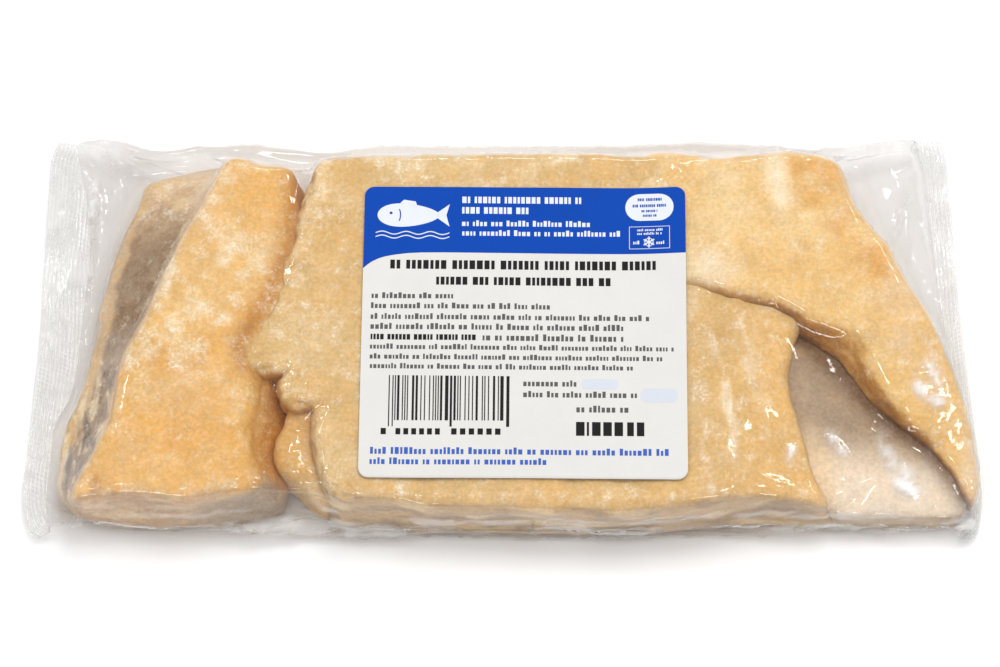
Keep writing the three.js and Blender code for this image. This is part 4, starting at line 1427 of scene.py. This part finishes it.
class Ink:
    """Flat shapes of one ink, gathered into one mesh."""

    def __init__(self, lift):
        self.v, self.f, self.lift = [], [], lift

    def add(self, uv, faces):
        n = sum(len(a) for a in self.v)
        uv = np.asarray(uv, float)
        self.v.append(label_at(uv[:, 0], uv[:, 1], self.lift))
        self.f += [tuple(int(i) + n for i in f) for f in faces]

    def bar(self, u0, u1, v0, v1):
        k = max(1, int(math.ceil((u1 - u0) / 2.5)))
        r = max(1, int(math.ceil((v1 - v0) / 2.5)))
        us, vs = np.linspace(u0, u1, k + 1), np.linspace(v0, v1, r + 1)
        pts = [(a, b) for a in us for b in vs]
        w = r + 1
        self.add(pts, [(i * w + j, i * w + j + 1, (i + 1) * w + j + 1, (i + 1) * w + j) for i in range(k) for j in range(r)])

    def fan(self, outline, centre=None):
        o = np.asarray(outline, float)
        c = o.mean(0) if centre is None else np.asarray(centre, float)
        n = len(o)
        pts = np.vstack([o, (o + c) / 2, c])
        area2 = np.sum(o[:, 0] * np.roll(o[:, 1], -1) - np.roll(o[:, 0], -1) * o[:, 1])
        f = [(i, (i + 1) % n, n + (i + 1) % n, n + i) for i in range(n)] + [(n + i, n + (i + 1) % n, 2 * n) for i in range(n)]
        self.add(pts, f if area2 < 0 else [t[::-1] for t in f])

    def pill(self, u0, u1, v0, v1, r):
        o = []
        for cx, cy, a0 in ((u1 - r, v1 - r, 0), (u0 + r, v1 - r, 90), (u0 + r, v0 + r, 180), (u1 - r, v0 + r, 270)):
            for a in np.radians(np.linspace(a0, a0 + 90, 7)):
                o.append((cx + r * math.cos(a), cy + r * math.sin(a)))
        self.fan(o, ((u0 + u1) / 2, (v0 + v1) / 2))

    def line(self, u0, u1, v0, v1, rng, heavy=False):
        """A line of print as a row of short bars with gaps like those between words."""
        h = v1 - v0
        top, bottom = (v0 + 0.02 * h, v1 - 0.12 * h) if heavy else (v0 + 0.20 * h, v1 - 0.20 * h)
        u = u0
        while u < u1 - 0.3 * h:
            for _ in range(int(rng.integers(2, 9))):
                w = h * float(rng.uniform(0.22, 0.46)) * (1.15 if heavy else 1.0)
                if u + w > u1:
                    break
                up = 0.0 if heavy else (0.22 * h if rng.random() < 0.25 else 0.0)
                self.bar(u, u + w, top - up, bottom)
                u += w + h * (0.15 if heavy else 0.17)
            u += h * 0.38

    def make(self, name, material):
        tris = [(f[0], f[i], f[i + 1]) for f in self.f for i in range(1, len(f) - 1)]
        return new_object(name, np.vstack(self.v), np.array(tris), material, smooth=False)


rng = np.random.default_rng(77)
ink = Ink(0.15)
for row in ((7.4, 81.2, 22.3, 25.4), (20.0, 67.9, 27.3, 30.1)):
    ink.line(*row, rng, heavy=True)
ink.line(2.5, 32.0, 44.5, 46.4, rng, heavy=True)
# the weight line, as plain blocks
for a, b in ((58.1, 60.4), (61.0, 61.6), (62.4, 64.7), (65.4, 67.7), (68.4, 70.7), (71.8, 73.6), (74.4, 76.4)):
    ink.bar(a, b, 69.7, 73.7)
# bar pattern
u = 7.7
while u < 40.0:
    w = 0.33 * int(rng.choice([1, 1, 1, 2, 2, 3]))
    guard = u < 9.0 or u > 38.9 or 23.2 < u < 24.6
    ink.bar(u, min(u + w * 0.92, 40.2), 56.6, 71.4 if guard else 69.6)
    u += w + 0.33 * int(rng.choice([1, 1, 2, 2, 3]))
for a, b, n in ((5.6, 7.2, 1), (9.5, 22.2, 6), (24.4, 38.5, 6)):
    for i in range(n):
        s = (b - a) / n
        ink.bar(a + i * s + 0.12 * s, a + (i + 1) * s - (0.26 * s if n > 1 else 0), 71.9, 73.7)
ink.make("print_ink", M_INK)

grey = Ink(0.15)
for row in ((2.5, 25.7, 32.2, 34.3), (2.4, 51.9, 35.2, 37.3), (2.4, 78.7, 38.4, 40.5), (2.4, 70.9, 41.3, 43.5),
            (32.8, 71.2, 44.3, 46.7), (2.4, 84.7, 47.4, 49.3), (2.4, 82.0, 50.3, 52.2), (2.5, 74.7, 53.1, 55.0),
            (43.9, 58.8, 57.7, 59.9), (43.9, 74.9, 60.9, 63.1), (58.2, 73.9, 65.0, 67.4)):
    grey.line(*row, rng)
grey.make("print_grey", M_INK2)

blue = Ink(0.15)
for row in ((3.1, 84.0, 77.4, 79.8), (3.0, 50.2, 80.4, 82.7)):
    blue.line(*row, rng)
blue.make("print_blue_lines", M_INK_BLUE)

tint = Ink(0.14)
tint.pill(59.6, 69.5, 57.2, 60.2, 1.2)
tint.pill(75.4, 85.6, 59.8, 63.9, 1.9)
tint.make("print_tint", M_TINT)

white = Ink(0.17)
white.line(26.8, 60.2, 3.0, 5.3, rng, heavy=True)
white.line(26.8, 46.7, 6.2, 8.5, rng, heavy=True)
white.line(26.8, 62.4, 10.3, 12.4, rng)
white.line(26.9, 70.6, 13.2, 15.3, rng)
white.pill(71.6, 84.8, 2.0, 10.2, 4.0)
# a plain fish, pointing left
body = [(11.6 + 8.0 * math.cos(a) * (1.0 if math.cos(a) < 0 else 1.12), 8.8 + 3.5 * math.sin(a) * (1 - 0.22 * math.cos(a)))
        for a in np.radians(np.linspace(4, 356, 48))]
white.fan(body, (11.0, 8.8))
white.fan([(19.6, 8.3), (23.4, 5.4), (22.5, 8.8), (19.6, 8.8)], (21.2, 7.8))
white.fan([(19.6, 8.8), (22.5, 8.8), (23.4, 12.2), (19.6, 9.3)], (21.2, 9.8))
white.fan([(9.0, 5.9), (10.8, 4.1), (14.0, 4.6), (14.6, 6.3)])
for a in (14.2, 15.4):
    k = np.linspace(3.2, 23.4, 30)
    wave = a + 0.45 * np.sin(k * 0.95)
    pts = [(p, w - 0.16) for p, w in zip(k, wave)] + [(p, w + 0.16) for p, w in zip(k, wave)]
    white.add(pts, [(i, i + 30, i + 31, i + 1) for i in range(29)])
# framed snow crystal with short bars
for a, b, c, d in ((72.6, 83.7, 11.9, 12.06), (72.6, 83.7, 18.54, 18.7), (72.6, 72.76, 11.9, 18.7), (83.54, 83.7, 11.9, 18.7)):
    white.bar(a, b, c, d)
white.line(74.8, 81.8, 12.6, 13.5, rng)
white.line(74.8, 81.8, 13.7, 14.6, rng)
white.line(73.7, 75.8, 16.2, 17.5, rng)
white.line(80.0, 82.4, 16.4, 17.6, rng)
for k in range(3):
    a = math.radians(60 * k + 30)
    c, s = math.cos(a), math.sin(a)
    L, w = 1.65, 0.19
    white.add([(78.0 + L * c - w * s, 16.65 + L * s + w * c), (78.0 + L * c + w * s, 16.65 + L * s - w * c),
               (78.0 - L * c + w * s, 16.65 - L * s - w * c), (78.0 - L * c - w * s, 16.65 - L * s + w * c)], [(0, 1, 2, 3)])
    for e in (-1, 1):
        for f in (-1, 1):
            b = a + f * math.radians(55)
            ox, oy = 78.0 + e * 0.85 * c, 16.65 + e * 0.85 * s
            dx, dy = e * 0.62 * math.cos(b), e * 0.62 * math.sin(b)
            px, py = -dy / 0.62 * 0.14, dx / 0.62 * 0.14
            white.add([(ox + px, oy + py), (ox + dx + px, oy + dy + py), (ox + dx - px, oy + dy - py), (ox - px, oy - py)],
                      [(3, 2, 1, 0)])
white.make("print_white", M_WHITE)

over = Ink(0.20)
for a, b, c, d in ((75.0, 81.6, 3.3, 4.3), (73.6, 82.9, 5.2, 6.2), (76.0, 80.6, 6.9, 7.7), (76.4, 80.2, 8.3, 9.1)):
    over.line(a, b, c, d, rng, heavy=True)
o = [(7.3 + 0.42 * math.cos(a), 8.2 + 0.42 * math.sin(a)) for a in np.linspace(0, 2 * math.pi, 13)[:-1]]
over.fan(o)
g = [(9.4 + 0.7 * math.cos(t) - 0.35, 8.8 + 2.0 * math.sin(t)) for t in np.linspace(-1.1, 1.1, 9)]
g += [(9.4 + 0.7 * math.cos(t) - 0.02, 8.8 + 2.0 * math.sin(t)) for t in np.linspace(1.1, -1.1, 9)]
over.add(g, [(i + 1, i, 17 - i, 16 - i) for i in range(8)])
over.make("print_blue_marks", M_BLUE)

# ------------------------------------------------------------ stage and light


def stage_material(name, colour, rough):
    m, nt, new = nodes_of(name)
    out = new("ShaderNodeOutputMaterial")
    b = new("ShaderNodeBsdfPrincipled")
    b.inputs["Base Color"].default_value = (*colour, 1)
    b.inputs["Roughness"].default_value = rough
    b.inputs["Specular IOR Level"].default_value = 0.2
    nt.links.new(b.outputs[0], out.inputs[0])
    return m


fm = bpy.data.meshes.new("floor")
S = 6.0
fm.from_pydata([(-S, -S, -0.0004), (S, -S, -0.0004), (S, S, -0.0004), (-S, S, -0.0004)], [], [(0, 1, 2, 3)])
floor = bpy.data.objects.new("floor", fm)
bpy.context.scene.collection.objects.link(floor)
fm.materials.append(stage_material("floor_paper", (0.96, 0.96, 0.96), 0.9))


def area(name, loc, aim, size, power, colour=(1, 1, 1)):
    d = bpy.data.lights.new(name, "AREA")
    d.shape = "RECTANGLE"
    d.size, d.size_y = size
    d.energy = power
    d.color = colour
    o = bpy.data.objects.new(name, d)
    bpy.context.scene.collection.objects.link(o)
    o.location = loc
    o.rotation_euler = (Vector(aim) - Vector(loc)).to_track_quat("-Z", "Y").to_euler()
    return o


key = area("key", (0.18, 0.38, 1.18), (0, 0, 0), (0.45, 0.45), 4.8)
soft = area("soft", (0.0, 0.0, 1.6), (0, 0, 0), (1.3, 0.8), 5.0)
key.visible_glossy = soft.visible_glossy = False
# small lamps that glint on the folds of the film
GLINTS = ((-0.43, 0.33, 0.84, 0.10, 0.06, 0.35), (0.02, 0.80, 0.60, 0.16, 0.05, 0.35), (0.45, -0.15, 0.88, 0.12, 0.12, 0.50),
          (0.49, 0.48, 0.73, 0.12, 0.12, 0.50), (-0.18, -0.33, 0.92, 0.08, 0.08, 0.22), (-0.60, 0.27, 0.75, 0.06, 0.14, 0.35),
          (-0.72, 0.10, 0.68, 0.05, 0.20, 0.30), (0.42, 0.55, 0.72, 0.07, 0.07, 0.18),
          (-0.25, -0.88, 0.40, 0.30, 0.06, 0.50), (0.35, -0.80, 0.48, 0.20, 0.06, 0.40))
for i, (dx, dy, dz, sx, sy, power) in enumerate(GLINTS):
    area("glint_%d" % i, (dx * 1.2, dy * 1.2, dz * 1.2), (0, 0, 0.01), (sx, sy), power)

world = bpy.data.worlds.new("world")
bpy.context.scene.world = world
world.use_nodes = True
wn = world.node_tree
bg = wn.nodes["Background"]
bg.inputs[0].default_value = (1.0, 1.0, 1.0, 1)
grey = wn.nodes.new("ShaderNodeBackground")
grey.inputs[0].default_value = (1.0, 1.0, 1.0, 1)
grey.inputs[1].default_value = 0.22
ray = wn.nodes.new("ShaderNodeLightPath")
either = wn.nodes.new("ShaderNodeMixShader")
wn.links.new(ray.outputs["Is Glossy Ray"], either.inputs[0])
wn.links.new(bg.outputs[0], either.inputs[1])
wn.links.new(grey.outputs[0], either.inputs[2])
wn.links.new(either.outputs[0], wn.nodes["World Output"].inputs[0])
bg.inputs[1].default_value = 0.46

sc = bpy.context.scene
sc.view_settings.view_transform = "Standard"
sc.view_settings.look = "None"
sc.view_settings.exposure = 0.17
sc.view_settings.gamma = 1.0
